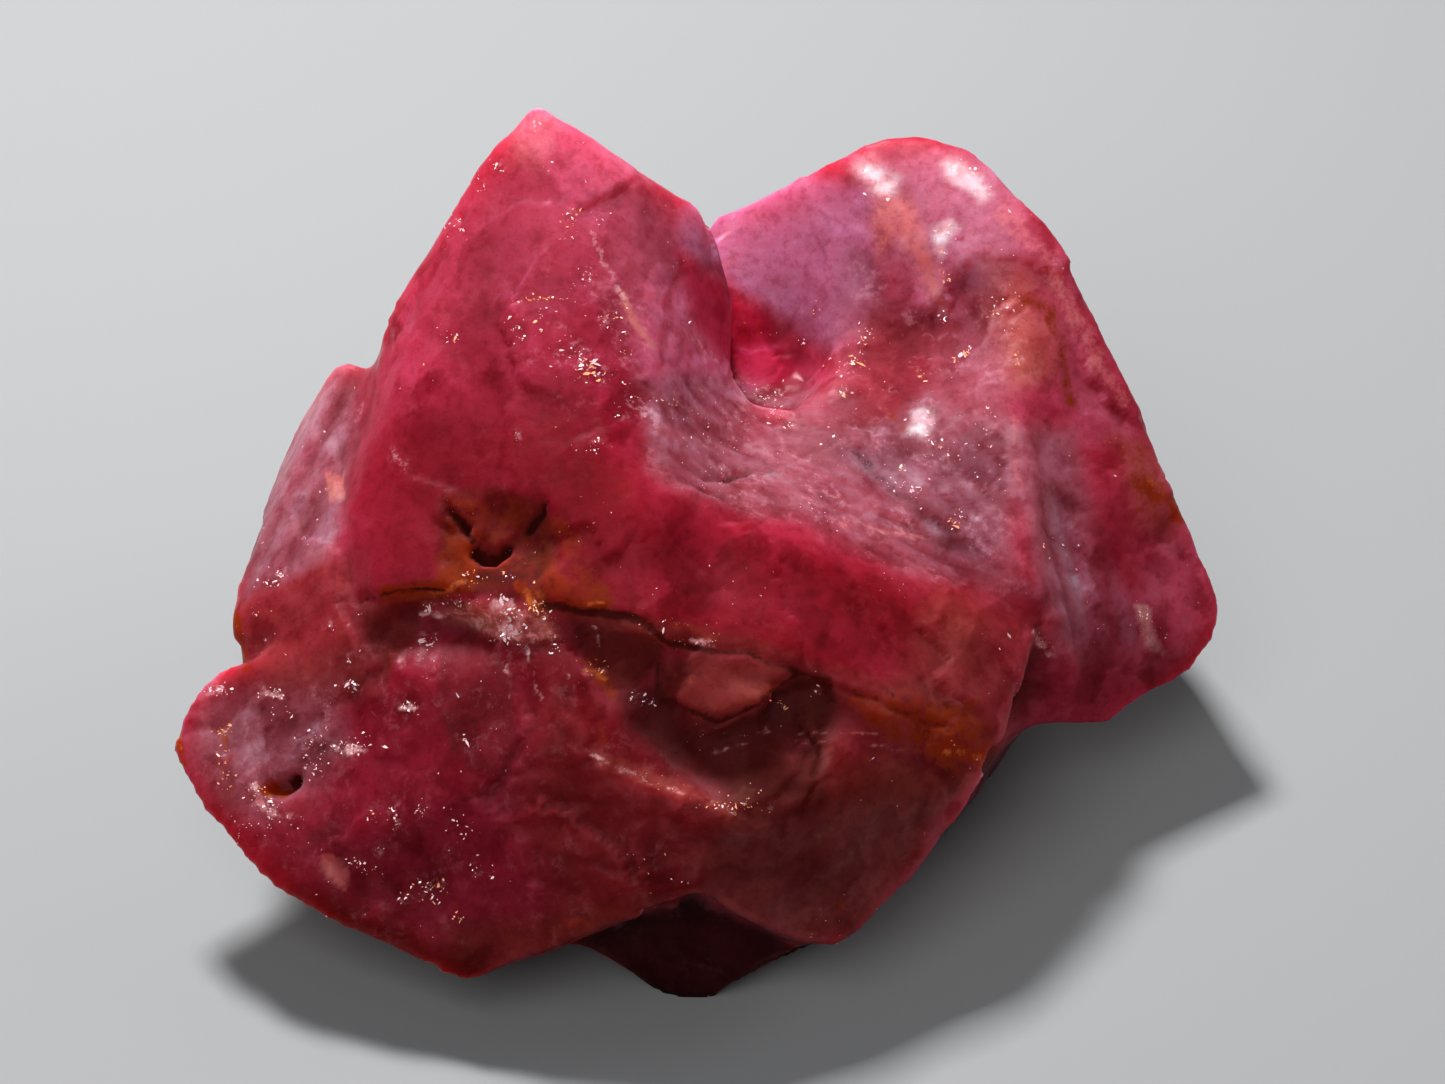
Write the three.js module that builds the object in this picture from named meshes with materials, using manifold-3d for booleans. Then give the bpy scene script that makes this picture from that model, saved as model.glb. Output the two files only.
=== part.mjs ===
// A rough red spinel group: two octahedral crystals, the saddle between them and a lower plate, grown
// together as one stone. Millimetres, +Z up. The stone stands on one flat octahedron face, and its front,
// with the long ledge where the upper crystals overhang the lower plate, faces -Y.
import * as THREE from "three";
import { ConvexHull } from "three/addons/math/ConvexHull.js";
import { mergeVertices } from "three/addons/utils/BufferGeometryUtils.js";
import Module from "manifold-3d";

const wasm = await Module();
wasm.setup();

// The grid that the surface is drawn on, how far past its own cell a corner may lie, as a share of the
// pitch, and the low and high corners of the space that the grid fills.
const gridPitch = 0.37;
const cornerReach = 0.5;
const gridLow = new THREE.Vector3(-7.8, -6.3, -0.9);
const gridHigh = new THREE.Vector3(7.9, 6.7, 9.9);

// How far the edges between a crystal's faces are worn round, where a body doesn't say.
const edgeWear = 0.04;

// How much is worn off the whole stone.
const wornDepth = 0.09;

// Worn relief: broad lumps and finer grain, each with its height and its spacing.
const lumpHeight = 0.06;
const lumpSpacing = 1.7;
const grainHeight = 0.02;
const grainSpacing = 0.8;

// Grown bodies. Each is the convex form that its corners [x, y, z] span, and it runs into the ones before
// it over its blend width.
const bodies = {
  tallCrystal: { blend: 0.1, corners: [
    [-2.35, 3.1, 9.3], [-2.95, 2.85, 8.85], [-1.0, 2.6, 8.36], [-1.7, 1.7, 8.15],
    [-0.08, 3.2, 7.36], [-0.2, 2.5, 6.2], [0.7, 2.0, 5.1],
    [-4.5, 1.7, 6.35], [-4.8, -0.7, 5.1], [-4.5, -1.9, 4.6],
    [-2.1, -2.5, 5.1], [-0.7, -3.0, 4.8], [-0.5, -0.6, 6.1],
    [-4.1, 4.2, 3.4], [-0.9, 4.9, 4.4], [0.9, 4.2, 2.0], [-4.7, 3.0, 1.6], [0.4, -0.5, 1.0],
  ] },
  leftFlank: { blend: 0.4, corners: [
    [-5.1, 2.1, 5.7], [-4.5, 1.6, 5.9], [-6.15, 0.3, 4.1], [-6.55, -1.1, 3.5], [-6.3, -1.55, 3.0],
    [-4.8, -0.7, 5.0],
    [-4.5, -2.1, 4.2], [-5.85, 2.5, 4.0], [-4.7, 2.9, 1.4], [-5.6, 0.4, 1.6], [-5.5, -1.3, 1.8],
    [-2.6, -1.5, 1.0], [-2.1, 2.5, 1.0],
  ] },
  saddle: { blend: 0.7, wear: 0.5, corners: [
    [-0.8, -1.1, 6.0], [0.7, -1.3, 5.5], [2.3, -1.4, 4.8], [3.9, -1.3, 4.0],
    [0.7, 1.7, 5.3], [1.9, 1.0, 5.0], [3.3, 0.0, 4.3], [4.3, -0.7, 3.7],
    [4.55, -1.4, 3.5], [4.3, -2.1, 3.0], [3.9, -3.0, 2.6],
    [-0.7, -3.1, 4.8], [1.2, -3.4, 4.3], [2.5, -3.3, 3.7],
    [-0.1, 2.0, 1.5], [3.9, 0.2, 1.2], [-0.1, -2.0, 1.2],
  ] },
  lowerPlate: { blend: 0.15, corners: [
    [-7.36, -2.45, 2.5], [-7.3, -2.75, 2.3], [-7.05, -1.7, 3.15], [-7.0, -3.1, 2.1], [-6.35, -3.9, 1.75],
    [-5.4, -4.45, 1.5],
    [-4.4, -4.9, 1.25], [-3.4, -5.55, 0.85], [-0.2, -5.2, 2.35],
    [-4.7, -1.6, 4.2], [-2.4, -1.8, 5.0], [-1.1, -2.2, 4.8],
    [-1.5, -4.0, 4.0], [0.3, -4.5, 3.4],
    [-5.3, -1.6, 1.4], [-2.7, -3.4, 0.9], [-0.6, -3.0, 0.8],
    [-4.2, -0.6, 2.2], [-0.6, -0.4, 2.2], [-2.4, -0.6, 4.2],
  ] },
  lowerCorner: { blend: 0.35, corners: [
    [-0.1, -2.8, 4.4], [2.3, -2.7, 3.9], [3.9, -3.0, 2.6], [3.35, -3.6, 1.95], [2.5, -4.4, 1.5],
    [1.7, -5.1, 1.15], [0.9, -5.1, 1.4], [-0.2, -5.2, 2.35], [0.3, -4.5, 3.3], [1.5, -4.1, 3.3],
    [-0.1, -2.5, 0.8], [2.4, -2.0, 0.8], [-1.1, -2.6, 4.5], [-1.3, -3.3, 3.4],
  ] },
  rightCrystal: { blend: 0.7, corners: [
    [1.2, 5.1, 6.35], [2.1, 5.3, 6.95], [3.0, 5.4, 7.15], [3.7, 5.2, 7.05], [4.25, 4.5, 6.8],
    [5.05, 3.7, 6.1], [5.8, 2.3, 4.65], [6.4, 1.6, 3.8], [7.15, 0.6, 2.45], [7.15, 0.25, 2.1],
    [6.85, -0.1, 1.65], [5.45, -1.05, 1.35], [4.5, -1.1, 1.6], [3.1, 4.6, 6.8], [4.2, 1.3, 4.9],
    [4.8, -0.8, 2.7], [-0.2, 5.2, 5.5], [0.8, 3.8, 4.5],
    [5.1, 4.6, 2.6], [6.3, 3.0, 2.0], [1.5, 5.4, 3.0], [1.9, 1.5, 1.0], [0.4, 4.2, 1.6], [5.1, 1.2, 0.8],
    [2.5, 6.0, 6.2], [3.9, 5.8, 5.9], [1.0, 5.8, 5.5],
  ] },
  valleyShelf: { blend: 0.7, wear: 0.3, corners: [
    [0.9, 1.7, 5.15], [2.0, 0.8, 4.95], [3.3, -0.2, 4.4],
    [4.5, -0.9, 3.75], [4.9, -1.2, 2.9], [5.0, -1.1, 2.0],
    [0.7, 3.4, 4.4], [2.1, 3.3, 5.2], [3.5, 2.7, 5.4], [4.3, 1.3, 5.0],
    [0.9, 2.0, 2.0], [3.9, 1.0, 2.0],
  ] },
  backCrystal: { blend: 0.3, corners: [
    [-2.2, 4.3, 6.5], [0.3, 5.0, 4.2], [-2.4, 5.5, 3.5], [-4.8, 3.6, 3.9], [-2.1, 5.0, 1.0],
    [-3.9, 4.2, 1.8], [0.2, 5.0, 2.0], [-2.1, 2.0, 3.0],
  ] },
  foot: { blend: 0.7, corners: [
    [-0.3, -4.75, -0.2], [2.2, -2.6, -0.5], [4.4, 0.6, -0.5], [3.6, 3.4, -0.5], [-0.6, 4.2, -0.5],
    [-3.9, 2.2, -0.5], [-3.6, -1.6, -0.5],
    [-1.6, -4.5, 0.8], [0.85, -4.8, 0.9], [2.9, -3.3, 1.5], [5.4, 1.2, 2.0], [5.3, 4.2, 3.4],
    [1.4, 5.6, 3.6], [-3.2, 5.1, 2.8], [-5.3, 2.2, 3.2], [-5.4, -1.0, 2.2], [-4.2, -2.6, 1.4],
    [-1.1, -4.2, 2.0],
  ] },
  gapFill: { blend: 0.5, corners: [
    [-0.9, 4.6, 5.7], [0.0, 4.8, 5.6], [0.4, 4.9, 5.4],
    [1.0, 3.6, 4.7], [1.2, 2.4, 4.5], [-0.4, 2.6, 4.9],
    [-0.8, 4.6, 2.0], [1.2, 4.6, 2.0], [0.2, 2.4, 2.0], [0.5, 0.4, 2.6], [1.4, 0.4, 3.8],
  ] },
};

// Hollows worn or broken into the stone: the pit above the ledge, the recesses under it, the bowl in the
// right crystal and the pocket behind the saddle. Each is an egg with a middle and three half widths.
const hollows = [
  { at: [-2.75, -1.95, 5.75], size: [0.8, 0.65, 0.55], blend: 0.15 },
  { at: [-3.9, -2.4, 4.4], size: [0.8, 0.5, 0.35], blend: 0.15 },
  { at: [-0.9, -3.4, 4.55], size: [0.75, 0.4, 0.35], blend: 0.15 },
  { at: [-0.1, -4.0, 4.0], size: [0.9, 0.6, 0.5], blend: 0.25 },
  { at: [1.2, -3.6, 3.95], size: [0.8, 0.45, 0.35], blend: 0.2 },
  { at: [2.75, 2.4, 5.95], size: [0.9, 1.1, 0.8], blend: 0.5 },
  { at: [0.75, 2.7, 5.05], size: [0.7, 0.9, 0.7], blend: 0.4 },
];

// The flat chip that stands in the recess under the ledge.
const chip = { blend: 0.05, corners: [
  [-0.35, -3.2, 4.5], [0.35, -3.2, 4.5], [1.1, -3.4, 4.35], [0.6, -3.75, 4.15],
  [0.0, -3.9, 4.05], [-0.35, -3.8, 4.1], [-0.65, -3.5, 4.3],
  [-0.35, -2.9, 3.6], [1.0, -2.9, 3.6], [0.0, -3.5, 3.4],
] };

// Growth terraces: each is the part of a swollen copy of a body that lies inside a turned block.
const terraces = [
  { on: "tallCrystal", swell: 0.3, at: [-2.4, 5.2, 5.2], size: [2.4, 4.0, 3.0], turn: 0.5 },
  { on: "tallCrystal", swell: 0.25, at: [-4.6, 3.9, 4.2], size: [2.0, 2.4, 2.6], turn: -0.5 },
  { on: "rightCrystal", swell: 0.25, at: [3.4, 6.4, 3.4], size: [2.8, 2.4, 2.2], turn: -0.4 },
  { on: "leftFlank", swell: 0.25, at: [-6.2, 1.4, 2.6], size: [2.4, 2.0, 1.5], turn: 0.3 },
  { on: "backCrystal", swell: 0.25, at: [-1.0, 5.6, 2.6], size: [2.2, 2.4, 1.8], turn: 0.4 },
];

function smoothMin(a, b, blend) {
  const shared = Math.max(blend - Math.abs(a - b), 0) / blend;
  return Math.min(a, b) - shared * shared * blend / 4;
}

function smoothMax(a, b, blend) {
  return -smoothMin(-a, -b, blend);
}

// How far a point lies outside the convex form that some corners span. It is below zero inside.
function convexDistance(corners, wear = edgeWear) {
  const { faces } = new ConvexHull().setFromPoints(corners.map((corner) => new THREE.Vector3(...corner)));
  const sameFlat = 0.999;
  const flats = faces.filter((face, i) =>
    !faces.slice(0, i).some((earlier) => earlier.normal.dot(face.normal) > sameFlat));
  return (p) => {
    let [nearest, second] = [-Infinity, -Infinity];
    for (const flat of flats) {
      const d = flat.normal.dot(p) - flat.constant;
      if (d > nearest) [nearest, second] = [d, nearest];
      else if (d > second) second = d;
    }
    return smoothMax(nearest, second, wear);
  };
}

function eggDistance({ at, size }) {
  const middle = new THREE.Vector3(...at);
  const halfWidths = new THREE.Vector3(...size);
  return (p) => (p.clone().sub(middle).divide(halfWidths).length() - 1) * Math.min(...size);
}

function blockDistance({ at, size, turn }) {
  const block = new THREE.BoxGeometry(...size).rotateX(turn).rotateY(turn).translate(...at);
  const place = block.getAttribute("position");
  const corners = Array.from({ length: place.count }, (_, i) =>
    [place.getX(i), place.getY(i), place.getZ(i)]);
  return convexDistance(corners);
}

function terraceDistance(terrace) {
  const body = convexDistance(bodies[terrace.on].corners);
  const block = blockDistance(terrace);
  return (p) => Math.max(body(p) - terrace.swell, block(p));
}

// Smooth noise from -1 to 1, eased between values on a lattice, the same on every run.
function latticeValue(i, j, k) {
  const spread = Math.sin(i * 127.1 + j * 311.7 + k * 74.7) * 43758.5453;
  return (spread - Math.floor(spread)) * 2 - 1;
}

function smoothNoise(x, y, z) {
  const [i, j, k] = [x, y, z].map(Math.floor);
  const [u, v, w] = [x - i, y - j, z - k].map((t) => THREE.MathUtils.smoothstep(t, 0, 1));
  const along = (dj, dk) => THREE.MathUtils.lerp(
    latticeValue(i, j + dj, k + dk), latticeValue(i + 1, j + dj, k + dk), u);
  const across = (dk) => THREE.MathUtils.lerp(along(0, dk), along(1, dk), v);
  return THREE.MathUtils.lerp(across(0), across(1), w);
}

function relief(p) {
  const lumps = smoothNoise(p.x / lumpSpacing, p.y / lumpSpacing, p.z / lumpSpacing);
  const grain = smoothNoise(p.x / grainSpacing, p.y / grainSpacing, p.z / grainSpacing);
  return lumpHeight * lumps + grainHeight * grain;
}

const grown = [
  ...Object.values(bodies).map(({ corners, blend, wear }) =>
    ({ distance: convexDistance(corners, wear), blend })),
  ...terraces.map((terrace) => ({ distance: terraceDistance(terrace), blend: edgeWear })),
];
const hollowed = hollows.map((hollow) => ({ distance: eggDistance(hollow), blend: hollow.blend }));
const chipDistance = convexDistance(chip.corners);

function stoneDistance(p) {
  const joined = grown.reduce((d, { distance, blend }) => smoothMin(d, distance(p), blend), Infinity);
  const cut = hollowed.reduce((d, { distance, blend }) => smoothMax(d, -distance(p), blend), joined);
  return smoothMin(cut, chipDistance(p), chip.blend) + relief(p) + wornDepth;
}

// The direction in which a distance grows fastest, which is the normal of its surface.
function normalOf(distance, p) {
  const step = 0.02;
  const slope = ["x", "y", "z"].map((axis) => {
    const [ahead, behind] = [p.clone(), p.clone()];
    ahead[axis] += step;
    behind[axis] -= step;
    return distance(ahead) - distance(behind);
  });
  return new THREE.Vector3(...slope).normalize();
}

// A grid of samples of a distance. Each axis is listed with the two that cross it.
const axes = [["x", "y", "z"], ["y", "z", "x"], ["z", "x", "y"]];

function sampled(distance) {
  const size = gridHigh.clone().sub(gridLow).divideScalar(gridPitch).ceil();
  const stride = { x: 1, y: size.x, z: size.x * size.y };
  const values = new Float64Array(size.x * size.y * size.z);
  const placeOf = (spot) => new THREE.Vector3().copy(spot).multiplyScalar(gridPitch).add(gridLow);
  const forEach = (visit, margin) => {
    for (let z = 0; z < size.z - margin; z++)
      for (let y = 0; y < size.y - margin; y++)
        for (let x = 0; x < size.x - margin; x++) visit({ x, y, z }, x + y * stride.y + z * stride.z);
  };
  forEach((spot, at) => { values[at] = distance(placeOf(spot)); }, 0);
  return { values, stride, placeOf, forEach };
}

// Where two inside samples touch only across a square's diagonal, one goes outside, so that no edge has
// four faces.
function openDiagonals({ values, stride, forEach }) {
  const justOutside = gridPitch / 20;
  let opened = 0;
  forEach((spot, at) => {
    for (const [, one, two] of axes) {
      const square = [at, at + stride[one], at + stride[two], at + stride[one] + stride[two]];
      const [a, b, c, d] = square.map((corner) => values[corner] < 0);
      if (a === b || a !== d || b !== c) continue;
      values[a ? square[0] : square[1]] = justOutside;
      opened += 1;
    }
  }, 1);
  if (opened > 0) openDiagonals({ values, stride, forEach });
}

// The corner of a cell: the middle of its crossings, moved onto the planes through them so that edges
// stay sharp.
function cellCorner(crossings, low, high) {
  const pulls = 40;
  const corner = new THREE.Vector3();
  crossings.forEach(({ p }) => corner.addScaledVector(p, 1 / crossings.length));
  for (let i = 0; i < pulls; i++) {
    const offsets = crossings.map(({ p, normal }) => normal.dot(p) - normal.dot(corner));
    crossings.forEach(({ normal }, j) => corner.addScaledVector(normal, offsets[j] / crossings.length));
  }
  const reach = gridPitch * cornerReach;
  return corner.clamp(low.subScalar(reach), high.addScalar(reach));
}

// Draws the surface where a distance is zero. Each cell that it crosses gets a corner, and each grid line
// that it crosses gets two triangles between the corners of the four cells round it.
function surfaceOf(distance) {
  const grid = sampled(distance);
  openDiagonals(grid);
  const { values, stride, placeOf, forEach } = grid;

  const known = new Map();
  const crossing = (spot, at, axis) => {
    const [from, to] = [values[at], values[at + stride[axis]]];
    if (from < 0 === to < 0) return null;
    const key = `${at}${axis}`;
    if (!known.has(key)) {
      const p = placeOf(spot);
      p[axis] += gridPitch * from / (from - to);
      known.set(key, { p, normal: normalOf(distance, p) });
    }
    return known.get(key);
  };

  const points = [];
  const pointOf = new Map();
  forEach((spot, at) => {
    const crossings = axes.flatMap(([axis, one, two]) =>
      [[0, 0], [1, 0], [0, 1], [1, 1]].map(([m, n]) => {
        const start = { ...spot, [one]: spot[one] + m, [two]: spot[two] + n };
        return crossing(start, at + m * stride[one] + n * stride[two], axis);
      })).filter(Boolean);
    if (crossings.length === 0) return;
    const high = placeOf({ x: spot.x + 1, y: spot.y + 1, z: spot.z + 1 });
    pointOf.set(at, points.push(cellCorner(crossings, placeOf(spot), high)) - 1);
  }, 1);

  const index = [];
  forEach((spot, at) => {
    for (const [axis, one, two] of axes) {
      if (!crossing(spot, at, axis)) continue;
      const cells = [at, at - stride[one], at - stride[one] - stride[two], at - stride[two]];
      if (values[at] >= 0) cells.reverse();
      const [a, b, c, d] = cells.map((cell) => pointOf.get(cell));
      const shortWay = points[a].distanceTo(points[c]) < points[b].distanceTo(points[d]);
      index.push(...(shortWay ? [a, b, c, a, c, d] : [a, b, d, b, c, d]));
    }
  }, 1);
  const geometry = new THREE.BufferGeometry().setFromPoints(points);
  geometry.setIndex(index);
  return geometry;
}

function solidFrom(geometry) {
  const bare = new THREE.BufferGeometry();
  bare.setAttribute("position", geometry.getAttribute("position"));
  bare.setIndex(geometry.index);
  const merged = mergeVertices(bare);
  return new wasm.Manifold(new wasm.Mesh({
    numProp: 3,
    vertProperties: merged.attributes.position.array,
    triVerts: new Uint32Array(merged.index.array),
  }));
}

// A solid's geometry, with corners that lie almost together welded and the faces that this closes left out.
function geometryFrom(solid) {
  const weldDistance = 2e-3;
  const mesh = solid.getMesh();
  const geometry = new THREE.BufferGeometry();
  geometry.setAttribute("position", new THREE.BufferAttribute(mesh.vertProperties, 3));
  geometry.setIndex(new THREE.BufferAttribute(mesh.triVerts, 1));
  const merged = mergeVertices(geometry, weldDistance);
  const index = Array.from(merged.index.array);
  const faces = Array.from({ length: index.length / 3 }, (_, i) => index.slice(3 * i, 3 * i + 3));
  merged.setIndex(faces.filter(([a, b, c]) => a !== b && b !== c && c !== a).flat());
  return merged;
}

// The stone is cut off flat at the floor, and its origin is on the floor under the middle of its box.
function cutStone() {
  const [blockWidth, blockDepth] = [40, 3];
  const floorBlock = new THREE.BoxGeometry(blockWidth, blockWidth, blockDepth);
  floorBlock.translate(0, 0, -blockDepth / 2);
  const grownStone = solidFrom(surfaceOf(stoneDistance));
  const geometry = geometryFrom(grownStone.subtract(solidFrom(floorBlock)));
  geometry.computeBoundingBox();
  const middle = geometry.boundingBox.getCenter(new THREE.Vector3());
  return geometry.translate(-middle.x, -middle.y, 0);
}

const spinelMaterial = new THREE.MeshStandardMaterial({ color: 0xa81f44, roughness: 0.35, metalness: 0 });
const crystal = new THREE.Mesh(cutStone(), spinelMaterial);
crystal.name = "spinel_crystal";

const part = new THREE.Group();
part.add(crystal);
export default part;
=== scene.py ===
import math
import bpy
import numpy as np
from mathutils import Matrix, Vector, noise
from mathutils.bvhtree import BVHTree
from mathutils.kdtree import KDTree


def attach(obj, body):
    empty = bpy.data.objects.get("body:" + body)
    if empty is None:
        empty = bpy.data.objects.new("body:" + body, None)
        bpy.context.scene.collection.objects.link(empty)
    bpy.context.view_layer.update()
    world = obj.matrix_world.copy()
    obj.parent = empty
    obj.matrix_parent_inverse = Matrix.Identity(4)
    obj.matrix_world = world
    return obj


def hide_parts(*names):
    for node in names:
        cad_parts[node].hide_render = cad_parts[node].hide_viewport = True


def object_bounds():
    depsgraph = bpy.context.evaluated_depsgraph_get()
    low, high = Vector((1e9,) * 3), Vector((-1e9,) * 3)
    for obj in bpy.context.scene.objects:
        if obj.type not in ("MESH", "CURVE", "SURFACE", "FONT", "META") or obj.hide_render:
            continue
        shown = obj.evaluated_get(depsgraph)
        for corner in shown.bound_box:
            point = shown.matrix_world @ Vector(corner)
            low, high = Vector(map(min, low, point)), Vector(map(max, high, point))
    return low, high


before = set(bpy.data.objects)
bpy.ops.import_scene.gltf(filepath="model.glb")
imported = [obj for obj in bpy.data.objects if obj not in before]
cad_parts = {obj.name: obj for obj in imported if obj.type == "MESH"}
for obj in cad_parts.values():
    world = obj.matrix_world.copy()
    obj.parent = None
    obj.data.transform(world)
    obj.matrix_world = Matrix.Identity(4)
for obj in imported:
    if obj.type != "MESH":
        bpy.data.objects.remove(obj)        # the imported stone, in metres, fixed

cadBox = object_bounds()
mm = 0.001
micron = 0.001  # in millimetres, the stone's own unit
noise.seed_set(1795484160)    # noise_vector would follow the clock without it

# Camera and studio

view = {
    "imageSize": (1445, 1084),  # pixels
    "lens": 112.0,  # mm
    "sensor": 36.0,  # mm
    "elevation": 40.0,  # degrees above the floor
    "distance": 60.0,  # mm from the point it aims at
    "aim": (0.211, -0.605, 4.3),  # mm
}

studio = {
    "floorSize": 400.0,  # mm
    "floorColor": (0.30, 0.305, 0.31, 1),
    "floorRoughness": 0.8,
    "worldColor": (0.9, 0.93, 1.0, 1),
    "worldStrength": 0.08,
    # name, elevation, azimuth from the front to the right, distance mm, size mm, watts, shows in the gloss
    "lights": [
        ("key", 60, 205, 80, 14, 0.098, True),
        ("fill", 50, -20, 90, 60, 0.030, False),
        ("rim", 35, 110, 90, 40, 0.010, False),
    ],
}


def direction(elevation, azimuth):
    e, a = math.radians(elevation), math.radians(azimuth)
    return Vector((math.sin(a) * math.cos(e), -math.cos(a) * math.cos(e), math.sin(e)))


toCamera = direction(view["elevation"], 0)
cameraUp = Vector((0, toCamera.z, -toCamera.y))
eye = Vector(view["aim"]) + toCamera * view["distance"]
focal = view["imageSize"][0] * view["lens"] / view["sensor"]  # pixels


def deselect():
    bpy.ops.object.select_all(action="DESELECT")


def pickUp(obj):
    deselect()
    obj.select_set(True)
    bpy.context.view_layer.objects.active = obj


def addCamera():
    bpy.ops.object.camera_add(location=eye * mm, rotation=toCamera.to_track_quat("Z", "Y").to_euler())
    camera = bpy.context.object
    camera.name = "frontCamera"
    camera.data.lens = view["lens"]
    camera.data.sensor_width = view["sensor"]
    camera.data.clip_start = 1 * mm
    bpy.context.scene.camera = camera


def addStudio():
    deselect()
    bpy.ops.mesh.primitive_plane_add(size=studio["floorSize"] * mm)
    floor = bpy.context.object
    floor.name = "floor"
    paper = bpy.data.materials.new("palePaper")
    paper.use_nodes = True
    shader = paper.node_tree.nodes["Principled BSDF"]
    shader.inputs["Base Color"].default_value = studio["floorColor"]
    shader.inputs["Roughness"].default_value = studio["floorRoughness"]
    floor.data.materials.append(paper)
    for name, elevation, azimuth, distance, size, watts, glossy in studio["lights"]:
        away = direction(elevation, azimuth)
        bpy.ops.object.light_add(type="AREA", location=away * distance * mm,
                                 rotation=away.to_track_quat("Z", "Y").to_euler())
        light = bpy.context.object
        light.name = name + "Light"
        light.data.size = size * mm
        light.data.energy = watts
        light.visible_glossy = glossy
    world = bpy.data.worlds.new("paleRoom")
    world.use_nodes = True
    background = world.node_tree.nodes["Background"].inputs
    background["Color"].default_value = studio["worldColor"]
    background["Strength"].default_value = studio["worldStrength"]
    bpy.context.scene.world = world
    bpy.context.scene.view_settings.view_transform = "Standard"


# The stone's surface, modelled at 1 unit to the millimetre and made metres at the end. Places on its front
# are given in pixels of the camera's picture, and are pinned to the surface before it is carved.

stoneForm = {
    "grid": 0.075,  # mm between points of the fine surface
    "weld": 0.001,  # mm between points that are one
    "smoothing": 12,  # rounds that take off the frame's own small facets
    "flatBelow": 0.05,  # mm above the floor that belongs to the base
    "pinSpacing": 3.0,  # pixels between the pins of a line
    "edgeWander": (4.0, 0.35),  # how far an area's edge wanders, pixels, and over how many mm
    "lineWander": (0.07, 0.3),  # how far a line wanders, and over what length, mm
    "hiddenDepth": 0.4,  # mm behind the first surface that still takes an area's mask
    "turnedAway": -0.3,  # the least that a point faces the front and still takes it
    "maskFloor": 0.01,  # a mask below this counts as nothing
    "flatSteps": 0.25,  # how far broken faces stand over one another, in their size times lean
    "flatDome": 0.3,  # how much a broken face is domed
    "flatsMeeting": 7,  # broken faces that are tried at each point
    "fewestFlats": 3,
    "ridgeStretch": 0.93,  # how far growth ridges are drawn out along their way
    "glintDepth": 0.12,  # mm that a bright break may cut or fill
    "glintEdge": 1.6,  # how steeply its rim falls off
    "glintLean": 0.35,  # the least that it faces out of the surface
}

# Relief all over or on an area: texture, mm between its lumps, height in mm, area or None for all over
stoneRelief = [
    ("CLOUDS", 1.3, 0.07, None),
    ("CLOUDS", 0.45, 0.035, None),
    ("CLOUDS", 0.16, 0.010, None),
    ("CLOUDS", 0.70, 0.04, "bowl"),
    ("CLOUDS", 0.30, 0.04, "rustyCorner"),
    ("CLOUDS", 0.22, 0.08, "crest"),
    ("CLOUDS", 0.20, 0.06, "pitLip"),
    ("CLOUDS", 0.22, 0.04, "recessMiddle"),
]

# Small broken faces: mm across, how steeply they lean, area or None for all over
stoneFlats = [
    (1.50, 0.022, None),
    (0.45, 0.045, "bowl"),
    (0.40, 0.08, "shelf"),
    (0.32, 0.16, "crest"),
    (0.40, 0.14, "pitFloor"),
    (0.40, 0.07, "rustyCorner"),
    (0.40, 0.07, "plateLeft"),
    (0.80, 0.035, "plate"),
    (0.50, 0.03, "darkBand"),
    (0.45, 0.07, "glitterPatch"),
]

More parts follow.
